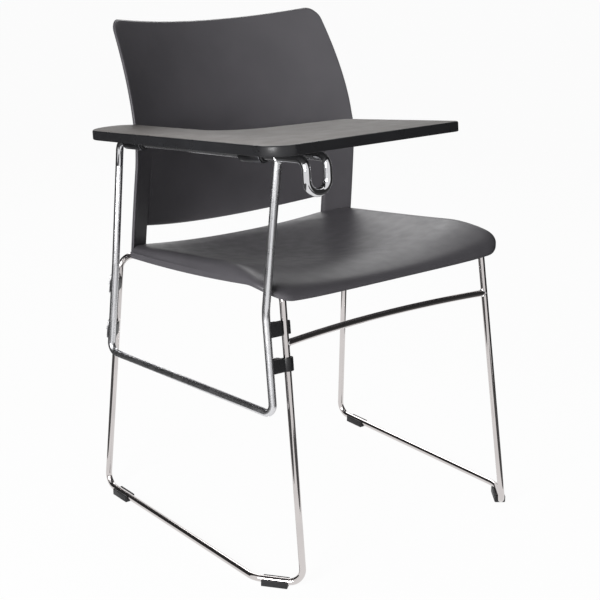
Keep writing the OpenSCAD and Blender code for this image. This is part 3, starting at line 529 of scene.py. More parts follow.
def lathe(bm, outline, steps=24):
    """Spin an outline of (radius, height) points round +Z."""
    vert = bmesh.ops.create_vert(bm, co=(outline[0][0], 0, outline[0][1]))["vert"][0]
    wire = [vert]
    for r, z in outline[1:]:
        vert = bmesh.ops.extrude_vert_indiv(bm, verts=[vert])["verts"][0]
        vert.co = (r, 0, z)
        wire.append(vert)
    edges = [e for v in wire for e in v.link_edges]
    bmesh.ops.spin(bm, geom=wire + list(set(edges)), cent=(0, 0, 0), axis=(0, 0, 1), angle=2 * math.pi,
                   steps=steps, use_merge=True)


def add_part(bm, part, place):
    """Move a finished bmesh to its place and copy it into another one."""
    bmesh.ops.transform(part, matrix=place, verts=part.verts)
    scrap = bpy.data.meshes.new("scrap")
    part.to_mesh(scrap)
    bm.from_mesh(scrap)
    part.free()
    bpy.data.meshes.remove(scrap)


def screw(bm, place, shank_r, shank_l, head_r, head_h):
    """Screw with its head's seat at the origin of a matrix, head towards +Z and shank towards -Z."""
    one = bmesh.new()
    flat = head_r * FLAT_SHARE
    lathe(one, [(0, -shank_l), (shank_r * 0.6, -shank_l), (shank_r, -shank_l + shank_r * 0.5), (shank_r, 0),
                (head_r * 0.96, 0), (head_r, head_h * 0.12), (head_r * 0.95, head_h * 0.5),
                (head_r * 0.82, head_h * 0.84), (flat, head_h)])
    bmesh.ops.remove_doubles(one, verts=one.verts, dist=0.001)
    rim = [e for e in one.edges if e.is_boundary]
    socket = bmesh.ops.create_circle(one, segments=6, radius=flat * SOCKET_SHARE,
                                     matrix=Matrix.Translation((0, 0, head_h)))
    hexagon = list({e for v in socket["verts"] for e in v.link_edges})
    bmesh.ops.bridge_loops(one, edges=rim + hexagon)
    floor_edges = only_edges(push(one, socket["verts"] + hexagon, UP * -head_h * SOCKET_DEPTH))
    bmesh.ops.contextual_create(one, geom=floor_edges)
    add_part(bm, one, place)


print("a screw's flat top is", FLAT_SHARE, "of its head")

# %% [markdown]
# ## Clips
# Four black clips tie the support's posts to the chair's right legs. Each is a block with a hook round
# the leg and a hollow for the post, and all have the same section from end to end, so it is drawn once
# as a plan. The hook of the lower front clip opens to the rear, that of the upper one to the front, and
# those at the rear leg open inwards.

# %% Clip outlines
CLIP_H, CLIP_BACK, CLIP_FRONT, CLIP_WALL, CLIP_GRIP, PLATE_T, PLATE_MARGIN = 21, 8.5, 5.5, 4, 2.5, 2.5, 2
HOOK_OUT, HOOK_IN, POST_HOLLOW = ROD_R + CLIP_WALL, ROD_R + RODS_FIT, ARM_R + RODS_FIT


def clip_outline(bm, span, opens_front):
    """Draw a clip's plan with the leg at the origin and the post at (span, 0)."""
    side = 1 if opens_front else -1
    lip = math.degrees(math.asin(CLIP_GRIP / HOOK_IN))
    lip_out = math.degrees(math.asin(CLIP_GRIP / HOOK_OUT))
    open_y, shut_y = (CLIP_FRONT, -CLIP_BACK) if opens_front else (-CLIP_BACK, CLIP_FRONT)
    meet = math.degrees(math.asin(abs(shut_y) / HOOK_OUT))
    v = bmesh.ops.create_vert(bm, co=(HOOK_OUT, open_y, 0))["vert"][0]
    v = pen_line(bm, v, HOOK_OUT, side * CLIP_GRIP)
    v = pen_line(bm, v, HOOK_IN * math.cos(math.radians(lip)), side * CLIP_GRIP)
    v = pen_arc(bm, v, (0, 0), -side * (180 + 2 * lip))
    v = pen_line(bm, v, -HOOK_OUT * math.cos(math.radians(lip_out)), side * CLIP_GRIP)
    v = pen_arc(bm, v, (0, 0), side * (180 + lip_out - meet))
    reach = math.degrees(math.asin(min(1, CLIP_FRONT / POST_HOLLOW)))
    front_x = span - POST_HOLLOW * math.cos(math.radians(reach))
    if opens_front:
        v = pen_line(bm, v, span, -CLIP_BACK)
        v = pen_line(bm, v, span, -POST_HOLLOW)
        v = pen_arc(bm, v, (span, 0), -(90 + reach))
    else:
        v = pen_line(bm, v, front_x, CLIP_FRONT)
        v = pen_arc(bm, v, (span, 0), 90 + reach)
        v = pen_line(bm, v, span, -CLIP_BACK)
    pen_line(bm, v, HOOK_OUT, open_y)


def clip_frame(front, z):
    """Frame at the leg: +X to the post, +Z up the leg, +Y forward or inboard."""
    leg = front_leg if front else rear_leg
    low, kink = (front_low, front_kink) if front else (rear_low, rear_kink)
    up = (leg(RIGHT, z + 1) - leg(RIGHT, z)).normalized()
    flat = at_height(low, kink, z) - leg(RIGHT, z)
    flat = flat - flat.dot(up) * up
    x = flat.normalized()
    return axes(x, up.cross(x), up, leg(RIGHT, z)), flat.length


print("clip hooks: radius", HOOK_IN, "inside and", HOOK_OUT, "outside")

# %% [markdown]
# Each plan is pulled up into a slab, whose ends get a small rounding, as a moulding has. A screw through
# a steel plate holds each clip to a tab on the post. The rear plates stand taller than their clips. A
# screw is given by the radius and length of its shank and the radius and height of its head.

# %% Clips, plates and screws
REAR_PLATE_H, PLATE_CORNER, PLATE_BREAK = 32, 2, 0.4
CLIP_SCREW = (2, 14.4, 4, 3)
CLIPS = [("front_upper", True, 410, True), ("front_lower", True, 355, False),
         ("rear_upper", False, 398, True), ("rear_lower", False, 316, True)]
plates, clip_bolts = bmesh.new(), bmesh.new()
for word, front, z, opens_front in CLIPS:
    place, span = clip_frame(front, z)
    bm = bmesh.new()
    clip_outline(bm, span, opens_front)
    ends = slab(bm, fill(bm), CLIP_H)
    soften(bm, ends, MOULD_BREAK, 2, clamp_overlap=False)
    bmesh.ops.transform(bm, matrix=place @ Matrix.Translation((0, 0, -CLIP_H / 2)), verts=bm.verts)
    piece(f"{word}_leg_clip", bm, BLACK, "chair", [f"{word}_clip"])
    inner, outer = HOOK_OUT, span - ARM_R - PLATE_MARGIN
    middle = (inner + outer) / 2
    size = (outer - inner, PLATE_T, CLIP_H if front else REAR_PLATE_H)
    plate = bmesh.new()
    bmesh.ops.create_cube(plate, size=1, matrix=Matrix.Diagonal((*size, 1)))
    corners = [e for e in plate.edges if abs(e.verts[0].co.y - e.verts[1].co.y) > PLATE_T / 2]
    soften(plate, corners, PLATE_CORNER, 4)
    soften(plate, [e for e in plate.edges if all(v.co.y < 0 for v in e.verts)], PLATE_BREAK, 2)
    add_part(plates, plate, place @ Matrix.Translation((middle, -CLIP_BACK - PLATE_T / 2, 0)))
    head = place @ Matrix.Translation((middle, -CLIP_BACK - PLATE_T, 0))
    screw(clip_bolts, head @ Matrix.Rotation(math.pi / 2, 4, "X"), *CLIP_SCREW)
piece("clip_backing_plates", plates, ZINC, "chair", ["clip_plates"])
piece("clip_bolts", clip_bolts, ZINC, "chair", ["clip_screws"])

# %% [markdown]
# A black cap closes the end of the rest rod, so that no sawn end can scratch. It is a cup, lathed with a
# rounded end.

# %% Rest rod cap
CAP_R, CAP_BORE, CAP_L, CAP_END, CAP_BREAK, CAP_ROUND = 8, ARM_R + RODS_FIT, 14, 2, 0.6, 2
bm = bmesh.new()
lathe(bm, [(0, CAP_L - CAP_END), (CAP_BORE, CAP_L - CAP_END), (CAP_BORE, 0), (CAP_R - CAP_BREAK, 0),
           (CAP_R, CAP_BREAK), (CAP_R, CAP_L - CAP_ROUND), (CAP_R - CAP_BREAK, CAP_L - CAP_BREAK),
           (CAP_R - CAP_ROUND, CAP_L), (0, CAP_L)], 32)
place = TABLET_PLANE @ Matrix.Translation((HOOK_W, REST_END_Y - CAP_L + CAP_END, 0))
bmesh.ops.transform(bm, matrix=place @ Matrix.Rotation(-math.pi / 2, 4, "X"), verts=bm.verts)
piece("rest_end_cap", bm, BLACK, "chair", ["rest_rod_cap"])

# %% [markdown]
# ## Moulded surfaces
# Seat and back are one thin wall each. The visible face starts as a flat grid, and every point of it is
# moved on to the designed surface. Rows and columns crowd together towards a rim, so that the rim can
# roll over smoothly, and the grid's square corners are pressed into round ones. Extruding the whole
# sheet then gives the wall. A cage with a Subdivision modifier would be quicker to draw, but it can't
# follow the designed surface so closely.

# %% Grid helpers
def roll(t):
    """1 at an edge, 0 where its roll starts, with the section of a quarter round."""
    return 1 - math.sqrt(1 - (1 - clamp(t)) ** 2)


def crowd(width, count):
    """Distances from an edge, from 0 to a width, at even angles of a quarter round."""
    return [width * (1 - math.cos(math.pi / 2 * i / count)) for i in range(count + 1)]


def press_corner(a, b):
    """Moves a point of the unit square into the quarter disc, and leaves the two inner sides alone."""
    return a * math.sqrt(1 - b * b / 2), b * math.sqrt(1 - a * a / 2)


def sheet(columns, rows):
    """Grid whose points carry the numbers of their column and row as x and y."""
    bm = bmesh.new()
    bmesh.ops.create_grid(bm, x_segments=columns - 1, y_segments=rows - 1, size=1)
    for v in bm.verts:
        v.co = (round((v.co.x + 1) / 2 * (columns - 1)), round((v.co.y + 1) / 2 * (rows - 1)), 0)
    return bm


print("a roll of 10 mm in 4 steps:", [round(e, 2) for e in crowd(10, 4)])

# %% [markdown]
# ## The seat
# The seat is dished across, lowest under the sitter, and falls away at the front edge as a waterfall.
# Its sides rise and then roll over into a thin rim. Two notches at the rear let the back's sleeves pass.

# %% Seat surface
SEAT_Z, SEAT_HALF, SEAT_FRONT, SEAT_REAR, SEAT_CORNER = 442, 250.5, -247, 186, 44
SEAT_LOW_Y, SEAT_RISE, FALL_Y, SEAT_FALL = 100, 22, -120, 34
SEAT_DISH, DISH_FADE, DISH_MIDDLE_Y, DISH_REACH, DISH_POWER = 39, 0.7, -20, 220, 2.2
SEAT_T, RIM_T, FRONT_ROLL, FRONT_WALL, SIDE_ROLL, SIDE_WALL = 6, 4.5, 26, 4, 30, 10
REAR_ROLL, REAR_FALL = 45, 3.0
RIM_LOW, RIM_SLOPE, RIM_CURVE, FRONT_RIM_UP = 442.5, 0.034, 1.35e-4, 10
CORNER_L, CORNER_LIFT, CORNER_POWER, SIDE_START, SIDE_BLEND = 62, 8, 6, 30, 190
HEM_IN, HEM_W, HEM_DEEP = 3.2, 3.0, 1.4


def seat_base(x, y):
    middle = SEAT_Z + SEAT_RISE * ((SEAT_LOW_Y - y) / (SEAT_LOW_Y - FALL_Y)) ** 2
    middle -= SEAT_FALL * (max(0, FALL_Y - y) / (FALL_Y - SEAT_FRONT)) ** 2
    middle -= REAR_FALL * clamp((y - SEAT_REAR + REAR_ROLL) / REAR_ROLL) ** 2
    dish = SEAT_DISH * (1 - DISH_FADE * ((y - DISH_MIDDLE_Y) / DISH_REACH) ** 2)
    return middle + dish * (abs(x) / SEAT_HALF) ** DISH_POWER


def seat_rim(x, y):
    ahead = SEAT_REAR - max(y, SEAT_FRONT + CORNER_L)
    side = RIM_LOW + RIM_SLOPE * ahead + RIM_CURVE * ahead ** 2
    t = clamp((SEAT_FRONT + CORNER_L - y) / CORNER_L)
    lift = CORNER_LIFT * t * (abs(x) / SEAT_HALF) ** CORNER_POWER
    return mix(side, SEAT_Z + FRONT_RIM_UP, t * t) + lift


def seat_edge(x, y):
    cx, cy = abs(x) - SEAT_HALF + SEAT_CORNER, SEAT_FRONT + SEAT_CORNER - y
    if cx > 0 and cy > 0:
        return SEAT_CORNER - math.hypot(cx, cy)
    return min(SEAT_HALF - abs(x), y - SEAT_FRONT)


def side_share(y):
    """0 round the front corners, 1 along the sides, where the shoulder is wider and ends in a taller rim."""
    return smooth((y - SEAT_FRONT - SIDE_START) / SIDE_BLEND)


def shoulder(y, edge):
    w = side_share(y)
    t = edge / mix(FRONT_ROLL, SIDE_ROLL, w)
    return mix(roll(t), (1 - clamp(t)) ** 2, w)


def hem(y, edge):
    """The shallow groove that sets the side rim off from the shoulder."""
    return HEM_DEEP * side_share(y) * max(0, 1 - ((edge - HEM_IN) / HEM_W) ** 2)


def seat_top(x, y):
    base, wall = seat_base(x, y), mix(FRONT_WALL, SIDE_WALL, side_share(y))
    edge = seat_edge(x, y)
    return base - (base - seat_rim(x, y) - wall) * shoulder(y, edge) - hem(y, edge)


def seat_under(x, y):
    base = seat_base(x, y) - SEAT_T
    return base - (base - seat_rim(x, y)) * shoulder(y, seat_edge(x, y) - RIM_T)


print("seat height in the middle:", round(seat_top(0, 0), 1), "and at its low point:",
      round(seat_top(0, SEAT_LOW_Y), 1))

# %% [markdown]
# The back's surface is needed for the notches too: the panel is curved across and bows forward at the
# lumbar, and the two sleeves turn forward from it at the sides, with a crease between.

# %% Back surface
BACK_TOP, BACK_DIP, BACK_LOW_X, BACK_TOP_X, BACK_Y, BACK_LOW = 834, 17, 243.5, 219.5, 149.5, 442
TAPER, LUMBAR_Z, LUMBAR_PUSH, RECLINE, RECLINE_POWER, BACK_T, BACK_CORNER = 0.4, 629, 18.5, 92, 1.6, 7, 22
LOW_CURVE, TOP_CURVE, SLEEVE_W, SLEEVE_H, SLEEVE_BULGE, SLEEVE_FADE_Z = 72, 54, 46, 6.5, 11, 574
FADE_SLANT, FADE_L, SLEEVE_LOW, WINDOW_Z, WINDOW_RISE = 0.4, 60, 444.5, 463.5, 22
CREASE_DEPTH, CREASE_W, CREASE_SHORT = 1.1, 1.5, 20


def back_half(z):
    t = (z - BACK_LOW) / (BACK_TOP - BACK_LOW)
    return mix(BACK_LOW_X, BACK_TOP_X, TAPER * t + (1 - TAPER) * t * t)


def sleeve_in(z):
    return back_half(z) - SLEEVE_W


def sleeve_u(x, z):
    return clamp((abs(x) - sleeve_in(z)) / SLEEVE_W)


def sleeve_fade(x, z):
    return 1 - smooth((z - SLEEVE_FADE_Z - FADE_SLANT * SLEEVE_W * sleeve_u(x, z)) / FADE_L)


def back_front(x, z):
    t = max(0, (z - LUMBAR_Z) / (BACK_TOP - LUMBAR_Z))
    bow = LUMBAR_PUSH * min(1, (z - BACK_LOW) / (LUMBAR_Z - BACK_LOW))
    edge = BACK_Y + SLEEVE_H - bow + RECLINE * t ** RECLINE_POWER
    curve = mix(LOW_CURVE, TOP_CURVE, (z - BACK_LOW) / (BACK_TOP - BACK_LOW))
    panel = edge + curve * (1 - (x / back_half(z)) ** 2)
    return panel - SLEEVE_H * sleeve_fade(x, z) * sleeve_u(x, z)


def back_rear(x, z):
    u = sleeve_u(x, z)
    return back_front(x, z) + BACK_T + SLEEVE_BULGE * sleeve_fade(x, z) * 4 * u * (1 - u)


print("back: half width", [round(back_half(z), 1) for z in (BACK_LOW, LUMBAR_Z, BACK_TOP)])

# %% [markdown]
# The seat's grid is dealt out from the middle to the sides, with close columns at the notches and the
# rim. Behind the front roll each column of points runs back to the rear edge or to a sleeve, so the
# notches need no cutting.

# %% Seat
NOTCH_X, SEAT_GAP, NOTCH_RISE = sleeve_in(SEAT_Z) - 1, 1, 20
REAR_BREAK, RIM_BREAK, RIM_END_Y = 1.5, 1.2, 160
seat_half_x = [NOTCH_X * i / 28 for i in range(29)] + [NOTCH_X + 1, 202, 207, 212, 217, 221]
seat_half_x += [SEAT_HALF - e for e in reversed(crowd(FRONT_ROLL, 10))]
seat_x = [-x for x in reversed(seat_half_x[1:])] + seat_half_x
front_steps = [SEAT_FRONT + e for e in crowd(FRONT_ROLL, 10)]
SEAT_ROWS = 60


def seat_rear(x):
    if abs(x) <= NOTCH_X:
        return SEAT_REAR
    sleeve = back_front(min(abs(x), back_half(SEAT_Z)), SEAT_Z + NOTCH_RISE) - SEAT_GAP
    return min(SEAT_REAR, sleeve)


bm = sheet(len(seat_x), len(front_steps) + SEAT_ROWS)
for v in bm.verts:
    x, row = seat_x[round(v.co.x)], round(v.co.y)
    if row < len(front_steps):
        y = front_steps[row]
    else:
        y = mix(front_steps[-1], seat_rear(x), (row - len(front_steps) + 1) / SEAT_ROWS)
    a, b = (abs(x) - SEAT_HALF + SEAT_CORNER) / SEAT_CORNER, (SEAT_FRONT + SEAT_CORNER - y) / SEAT_CORNER
    if a > 0 and b > 0:
        a, b = press_corner(a, b)
        x = math.copysign(SEAT_HALF - SEAT_CORNER + a * SEAT_CORNER, x)
        y = SEAT_FRONT + SEAT_CORNER - b * SEAT_CORNER
    v.co = (x, y, seat_top(x, y))
geom = bmesh.ops.extrude_face_region(bm, geom=bm.faces[:])["geom"]
for v in only_verts(geom):
    v.co.z = seat_under(v.co.x, v.co.y)
rear_edge = [e for e in bm.edges if all(v.co.y > SEAT_REAR - 0.01 for v in e.verts)
             and abs(e.calc_face_angle(0)) > 1]
soften(bm, rear_edge, REAR_BREAK, 3)
rim_edges = [e for e in bm.edges
             if all(seat_edge(v.co.x, v.co.y) < 0.05 and v.co.y < RIM_END_Y for v in e.verts)
             and (e.verts[0].co - e.verts[1].co).xy.length > 0.5]
soften(bm, rim_edges, RIM_BREAK, 2)
print("seat edges softened:", len(rear_edge), "at the rear,", len(rim_edges), "round the rim")

# %% [markdown]
# Four bosses under the seat take its screws. Each is a short post, sunk a little into the shell, with a
# collar at its root.

# %% Seat bosses
TAB_HOLE_IN, TAB_T, TAB_YS = 17, 3, (-120, 90)
BOSS_R, BOSS_BREAK, BOSS_SUNK, COLLAR_W, COLLAR_H = 7, 0.6, 2.5, 2.2, 1


def tab_at(s, y):
    return rail(s, y) - Vector((s * TAB_HOLE_IN, 0, 0))


for side in (RIGHT, LEFT):
    for y in TAB_YS:
        p = tab_at(side, y)
        low, top = p.z + TAB_T / 2, seat_under(p.x, p.y)
        post = bmesh.new()
        lathe(post, [(0, low), (BOSS_R - BOSS_BREAK, low), (BOSS_R, low + BOSS_BREAK),
                     (BOSS_R, top - COLLAR_H), (BOSS_R + COLLAR_W, top + BOSS_BREAK),
                     (BOSS_R, top + BOSS_SUNK), (0, top + BOSS_SUNK)])
        add_part(bm, post, Matrix.Translation((p.x, p.y, 0)))
piece("moulded_seat", bm, SHELL, "chair", ["seat_shell"], sharp=50)

# %% [markdown]
# The seat's screws come up through the welded tabs into the bosses. Each is as long as the seat above it
# allows, so that no tip comes through the top.

# %% Seat screws
SCREW_REACH, SKIN, SEAT_SCREW_R, SEAT_HEAD_R, SEAT_HEAD_H = 9, 2, 2.5, 4.75, 3
bm = bmesh.new()
for side in (RIGHT, LEFT):
    for y in TAB_YS:
        p = tab_at(side, y)
        reach = min(TAB_T / 2 + SCREW_REACH, seat_top(p.x, p.y) - SKIN - p.z)
        place = Matrix.Translation(p - UP * TAB_T / 2) @ Matrix.Rotation(math.pi, 4, "X")
        screw(bm, place, SEAT_SCREW_R, TAB_T / 2 + reach, SEAT_HEAD_R, SEAT_HEAD_H)
piece("seat_bolts", bm, ZINC, "chair", ["seat_screws"])

# %% [markdown]
# ## The back
# The grid covers the panel with the upper part of the sleeves. The sleeves' lower ends are pulled down
# from the grid's lower edge afterwards, so the window between back and seat stays open. The front rim is
# rounded with a larger radius than the rear one, and a shallow groove runs down each crease.

# %% Back outline
RIM_R, REAR_RIM_R = 3.2, 1.6
rim_steps = crowd(RIM_R, 6)
SLEEVE_TOP_Z = WINDOW_Z + WINDOW_RISE
panel_part = [i / 24 for i in range(24)]
sleeve_d = [-4.5, -3, -2, -1.2, -0.5] + rim_steps + [6, 10, 14, 18, 22, 26, 30, 34, 38]
sleeve_d += [SLEEVE_W - e for e in reversed(rim_steps)]
half_count = len(panel_part) + len(sleeve_d)
BACK_ROWS = 66
row_count = 2 * len(rim_steps) + BACK_ROWS - 1


def column_x(i, z):
    edge = sleeve_in(z)
    if i < len(panel_part):
        return panel_part[i] * (edge + sleeve_d[0])
    return edge + sleeve_d[i - len(panel_part)]


def panel_low(x, z):
    return WINDOW_Z + WINDOW_RISE * min(1, abs(x) / sleeve_in(z)) ** 2


def top_line(x):
    return BACK_TOP - BACK_DIP * (1 - (x / BACK_TOP_X) ** 2)


def row_height(row, low, top):
    if row < len(rim_steps):
        return low + rim_steps[row]
    if row >= row_count - len(rim_steps):
        return top - rim_steps[row_count - 1 - row]
    return mix(low + RIM_R, top - RIM_R, (row - len(rim_steps) + 1) / BACK_ROWS)


def rim_distance(x, z):
    """Distance of a point of the back from its outline."""
    x, half, edge, top = abs(x), back_half(z), sleeve_in(z), top_line(x)
    a, b = x - half + BACK_CORNER, z - top + BACK_CORNER
    outer = BACK_CORNER - math.hypot(a, b) if a > 0 and b > 0 else min(half - x, top - z)
    if x < edge:
        inner = z - panel_low(x, z)
    elif z < SLEEVE_TOP_Z:
        inner = min(x - edge, z - SLEEVE_LOW)
    else:
        inner = math.hypot(x - edge, z - SLEEVE_TOP_Z)
    return max(0, min(outer, inner))


print("back grid:", 2 * half_count - 1, "by", row_count, "points")

# %% [markdown]
# The grid is laid out flat first. A row's height depends on its x and a column's x on its height, so
# the two are worked out in turn three times. Then the sleeves' lower ends are pulled down step by step,
# the sheet gets its rear face, and all points move on to the front or rear surface.

# %% Back
bm = sheet(2 * half_count - 1, row_count)
for v in bm.verts:
    i, row = round(v.co.x) - half_count + 1, round(v.co.y)
    z = mix(SLEEVE_TOP_Z, BACK_TOP, row / (row_count - 1))
    for step in range(3):
        x = math.copysign(column_x(abs(i), z), i)
        z = row_height(row, panel_low(x, SLEEVE_TOP_Z), top_line(x))
    a, b = (abs(x) - back_half(z) + BACK_CORNER) / BACK_CORNER, (z - top_line(x) + BACK_CORNER) / BACK_CORNER
    if a > 0 and b > 0:
        flat_half, flat_top = back_half(z), top_line(x)
        a, b = press_corner(min(1, a), min(1, b))
        x = math.copysign(flat_half - BACK_CORNER + a * BACK_CORNER, x)
        z = flat_top - BACK_CORNER + b * BACK_CORNER
    v.co = (x, 0, z)
lower = [e for e in bm.edges if e.is_boundary and all(abs(v.co.z - SLEEVE_TOP_Z) < 0.2 for v in e.verts)
         and all(abs(v.co.x) > sleeve_in(v.co.z) - 0.01 for v in e.verts)]
sleeve_steps = [mix(SLEEVE_TOP_Z, SLEEVE_LOW + RIM_R, t / 8) for t in range(1, 9)]
sleeve_steps += [SLEEVE_LOW + e for e in rim_steps[-2::-1]]
for z in sleeve_steps:
    geom = bmesh.ops.extrude_edge_only(bm, edges=lower)["geom"]
    new = only_verts(geom)
    for v in new:
        v.co = (math.copysign(abs(v.co.x) - sleeve_in(v.co.z) + sleeve_in(z), v.co.x), 0, z)
    on_end = set(new)
    lower = [e for e in only_edges(geom) if set(e.verts) <= on_end]
geom = bmesh.ops.extrude_face_region(bm, geom=bm.faces[:])["geom"]
behind = set(only_verts(geom))
for v in bm.verts:
    x, z = v.co.x, v.co.z
    e = rim_distance(x, z)
    if v in behind:
        v.co.y = back_rear(x, z) - REAR_RIM_R * roll(e / REAR_RIM_R)
    else:
        across = math.exp(-((abs(x) - sleeve_in(z)) / CREASE_W) ** 2)
        groove = CREASE_DEPTH * across * sleeve_fade(x, z + CREASE_SHORT)
        v.co.y = back_front(x, z) + RIM_R * roll(e / RIM_R) + groove
piece("moulded_back", bm, SHELL, "chair", ["back_shell"], sharp=60)

# %% [markdown]
# One screw at the rear of each sleeve locks the back on its rods. It stands square to the sleeve's rear
# face, so its axis follows the slope of the surface there.

# %% Back screws
BACK_SCREW_Z, BACK_SCREW_SEAT, BACK_SCREW_R, BACK_HEAD_R, UPRIGHT_TOP_Z = 474, 2.4, 2, 4, 588


def upright_at(z):
    x = back_half(z) - SLEEVE_W / 2
    return Vector((x, (back_front(x, z) + back_rear(x, z)) / 2, z))


lock = at_height(upright_at(SLEEVE_LOW), upright_at(UPRIGHT_TOP_Z), BACK_SCREW_Z)
slope = (back_front(lock.x + 1, lock.z) - back_front(lock.x - 1, lock.z)) / 2
wall = (BACK_T + SLEEVE_BULGE) / 2 * math.cos(math.atan(slope))
sunk = wall - BACK_SCREW_SEAT
bm = bmesh.new()
for side in (RIGHT, LEFT):
    out = Vector((-slope * side, 1, 0)).normalized()
    place = axes(UP.cross(out), UP, out, hand(lock, side)) @ Matrix.Translation((0, 0, sunk))
    screw(bm, place, BACK_SCREW_R, sunk, BACK_HEAD_R, BACK_SCREW_SEAT)
piece("back_lock_bolts", bm, ZINC, "chair", ["back_screws"])

# %% [markdown]
# ## The tablet
# The tablet is a board between two laminates, with a black band round its edge. Its outline is a writing
# area and a narrow arm rest, joined by a wide inside curve. All its layers are cut from this outline, as
# a real one is cut on a router after a template.

# %% Tablet outline
BOARD_OFF, BOARD_T, BAND_T, LAMINATE_T = 3.5, 15, 3, 1
BOARD_LOW, BOARD_HIGH = ARM_R + BOARD_OFF, ARM_R + BOARD_OFF + BOARD_T
TABLET = [(-62, -361, 39), (283, -361, 9), (235.5, -153, 18), (30, -124, 79), (30, 163.5, 33),
          (-62, 163.5, 58)]
TABLET_STEP = math.radians(3)


def tablet_face(bm):
    rounded_outline(bm, TABLET, TABLET_STEP)
    return fill(bm)


def inner_face(bm, margin):
    """Inset the tablet's face and keep only the part inside the margin."""
    face = tablet_face(bm)
    ring = bmesh.ops.inset_individual(bm, faces=face, thickness=margin, use_even_offset=True)["faces"]
    bmesh.ops.delete(bm, geom=ring, context="FACES")
    return bm.faces[:]


def lay(bm, z):
    bmesh.ops.transform(bm, matrix=TABLET_PLANE @ Matrix.Translation((0, 0, z)), verts=bm.verts)


print("tablet: corners", len(TABLET), "and thickness", BOARD_HIGH - BOARD_LOW, "mm")

# %% [markdown]
# The band is the ring that an inset of the outline leaves, pulled up to the board's thickness. Its upper
# outer edge is well rounded, because arms lie on it.

# %% Edge band
BAND_ROUND, BAND_FOOT = 2.6, 1.4
bm = bmesh.new()
face = tablet_face(bm)
rim = set(bm.verts)
bmesh.ops.inset_individual(bm, faces=face, thickness=BAND_T, use_even_offset=True)
bmesh.ops.delete(bm, geom=face, context="FACES")
outer_low = [e for e in bm.edges if e.is_boundary and set(e.verts) <= rim]
geom = bmesh.ops.extrude_face_region(bm, geom=bm.faces[:])["geom"]
bmesh.ops.translate(bm, verts=only_verts(geom), vec=(0, 0, BOARD_HIGH - BOARD_LOW))
low_places = {(round(v.co.x, 3), round(v.co.y, 3)) for e in outer_low for v in e.verts}
outer_high = [e for e in bm.edges if all(v.co.z > 1 and (round(v.co.x, 3), round(v.co.y, 3)) in low_places
                                         for v in e.verts)]
soften(bm, outer_high, BAND_ROUND, 5, clamp_overlap=False)
soften(bm, [e for e in outer_low if e.is_valid], BAND_FOOT, 3, clamp_overlap=False)
lay(bm, BOARD_LOW)
piece("tablet_band", bm, BAND, "tablet", ["tablet_edge_band"], sharp=40)

# %% [markdown]
# The grey laminate lies level with the band, with a fine seam between them: its upper edge is broken by
# a narrow bevel. The dark one below only balances the board.

# %% Laminates
SEAM, EDGE_BREAK = 0.12, 0.4
for name, material, slot, node, low in (
        ("tablet_writing_top", LAMINATE, "grey_laminate", "tablet_laminate", BOARD_HIGH - LAMINATE_T),
        ("tablet_under_sheet", BACKER, "dark_backer", "tablet_backer", BOARD_LOW)):
    bm = bmesh.new()
    ends = slab(bm, inner_face(bm, BAND_T + SEAM), LAMINATE_T)
    soften(bm, ends, EDGE_BREAK, 2, clamp_overlap=False)
    lay(bm, low)
    piece(name, bm, material, "tablet", [node])

# %% [markdown]
# ## Hinges
# Two steel saddles hold the tablet on the hinge pin. Their colour is darkened well below bare steel,
# as painted dark reflection and shade. A saddle is a strip of sheet steel bent round a black bush, so it
# is drawn as the middle line of its section, pulled to its length, and given its thickness by a Solidify
# modifier. A Bevel modifier breaks its edges.

# %% Saddles
BUSH_FIT, BUSH_T, BUSH_PROUD = 0.05, 2.5, 4
BUSH_R = ARM_R + BUSH_FIT + BUSH_T
SADDLE_T, SADDLE_L, SADDLE_FLAT, SADDLE_BREAK, SADDLE_STEP = 2, 50, 0.6, 0.4, math.radians(6)
FLANGE_W, FLANGE_BEND_R, FLANGE_CORNER = 14, 2.2, 4
FLANGE_X = BUSH_R + SADDLE_T + FLANGE_W
SADDLES = (("front", -228), ("rear", 93))


def sheet_steel(obj):
    wall = obj.modifiers.new("thickness", "SOLIDIFY")
    wall.thickness = SADDLE_T / 1000
    wall.offset = 0
    wall.use_even_offset = True
    edge = obj.modifiers.new("broken edges", "BEVEL")
    edge.width = SADDLE_BREAK / 1000
    edge.segments = 2
    edge.limit_method = "ANGLE"
    edge.angle_limit = math.radians(50)


for word, y in SADDLES:
    bm = bmesh.new()
    r, level = BUSH_R + SADDLE_T / 2, BOARD_LOW - SADDLE_T / 2
    section = [(-FLANGE_X, level), (-r, level), (-r, -r), (r, -r), (r, level), (FLANGE_X, level)]
    path = [Vector((x, 0, z)) for x, z in section]
    start = bmesh.ops.create_vert(bm, co=path[0])["vert"]
    bends = [FLANGE_BEND_R, r - SADDLE_FLAT, r - SADDLE_FLAT, FLANGE_BEND_R]
    sweep(bm, start, path, [0] + bends + [0], SADDLE_STEP)
    bmesh.ops.remove_doubles(bm, verts=bm.verts, dist=0.02)
    geom = bmesh.ops.extrude_edge_only(bm, edges=bm.edges[:])["geom"]
    bmesh.ops.translate(bm, verts=only_verts(geom), vec=(0, SADDLE_L, 0))
    corners = [v for v in bm.verts if len(v.link_edges) == 2]
    bmesh.ops.bevel(bm, geom=corners, offset=FLANGE_CORNER, offset_type="OFFSET", segments=5, profile=0.5,
                    affect="VERTICES", material=-1)
    place = TABLET_PLANE @ Matrix.Translation((0, y - SADDLE_L / 2, 0))
    bmesh.ops.transform(bm, matrix=place, verts=bm.verts)
    strip = piece(f"{word}_saddle_strip", bm, STEEL_DARKENED_AS_SHADE, "tablet", [f"{word}_hinge_saddle"])
    sheet_steel(strip)

# %% [markdown]
# Each bush is a lathed sleeve with broken edges. It turns on the pin and shows at both ends of its saddle.

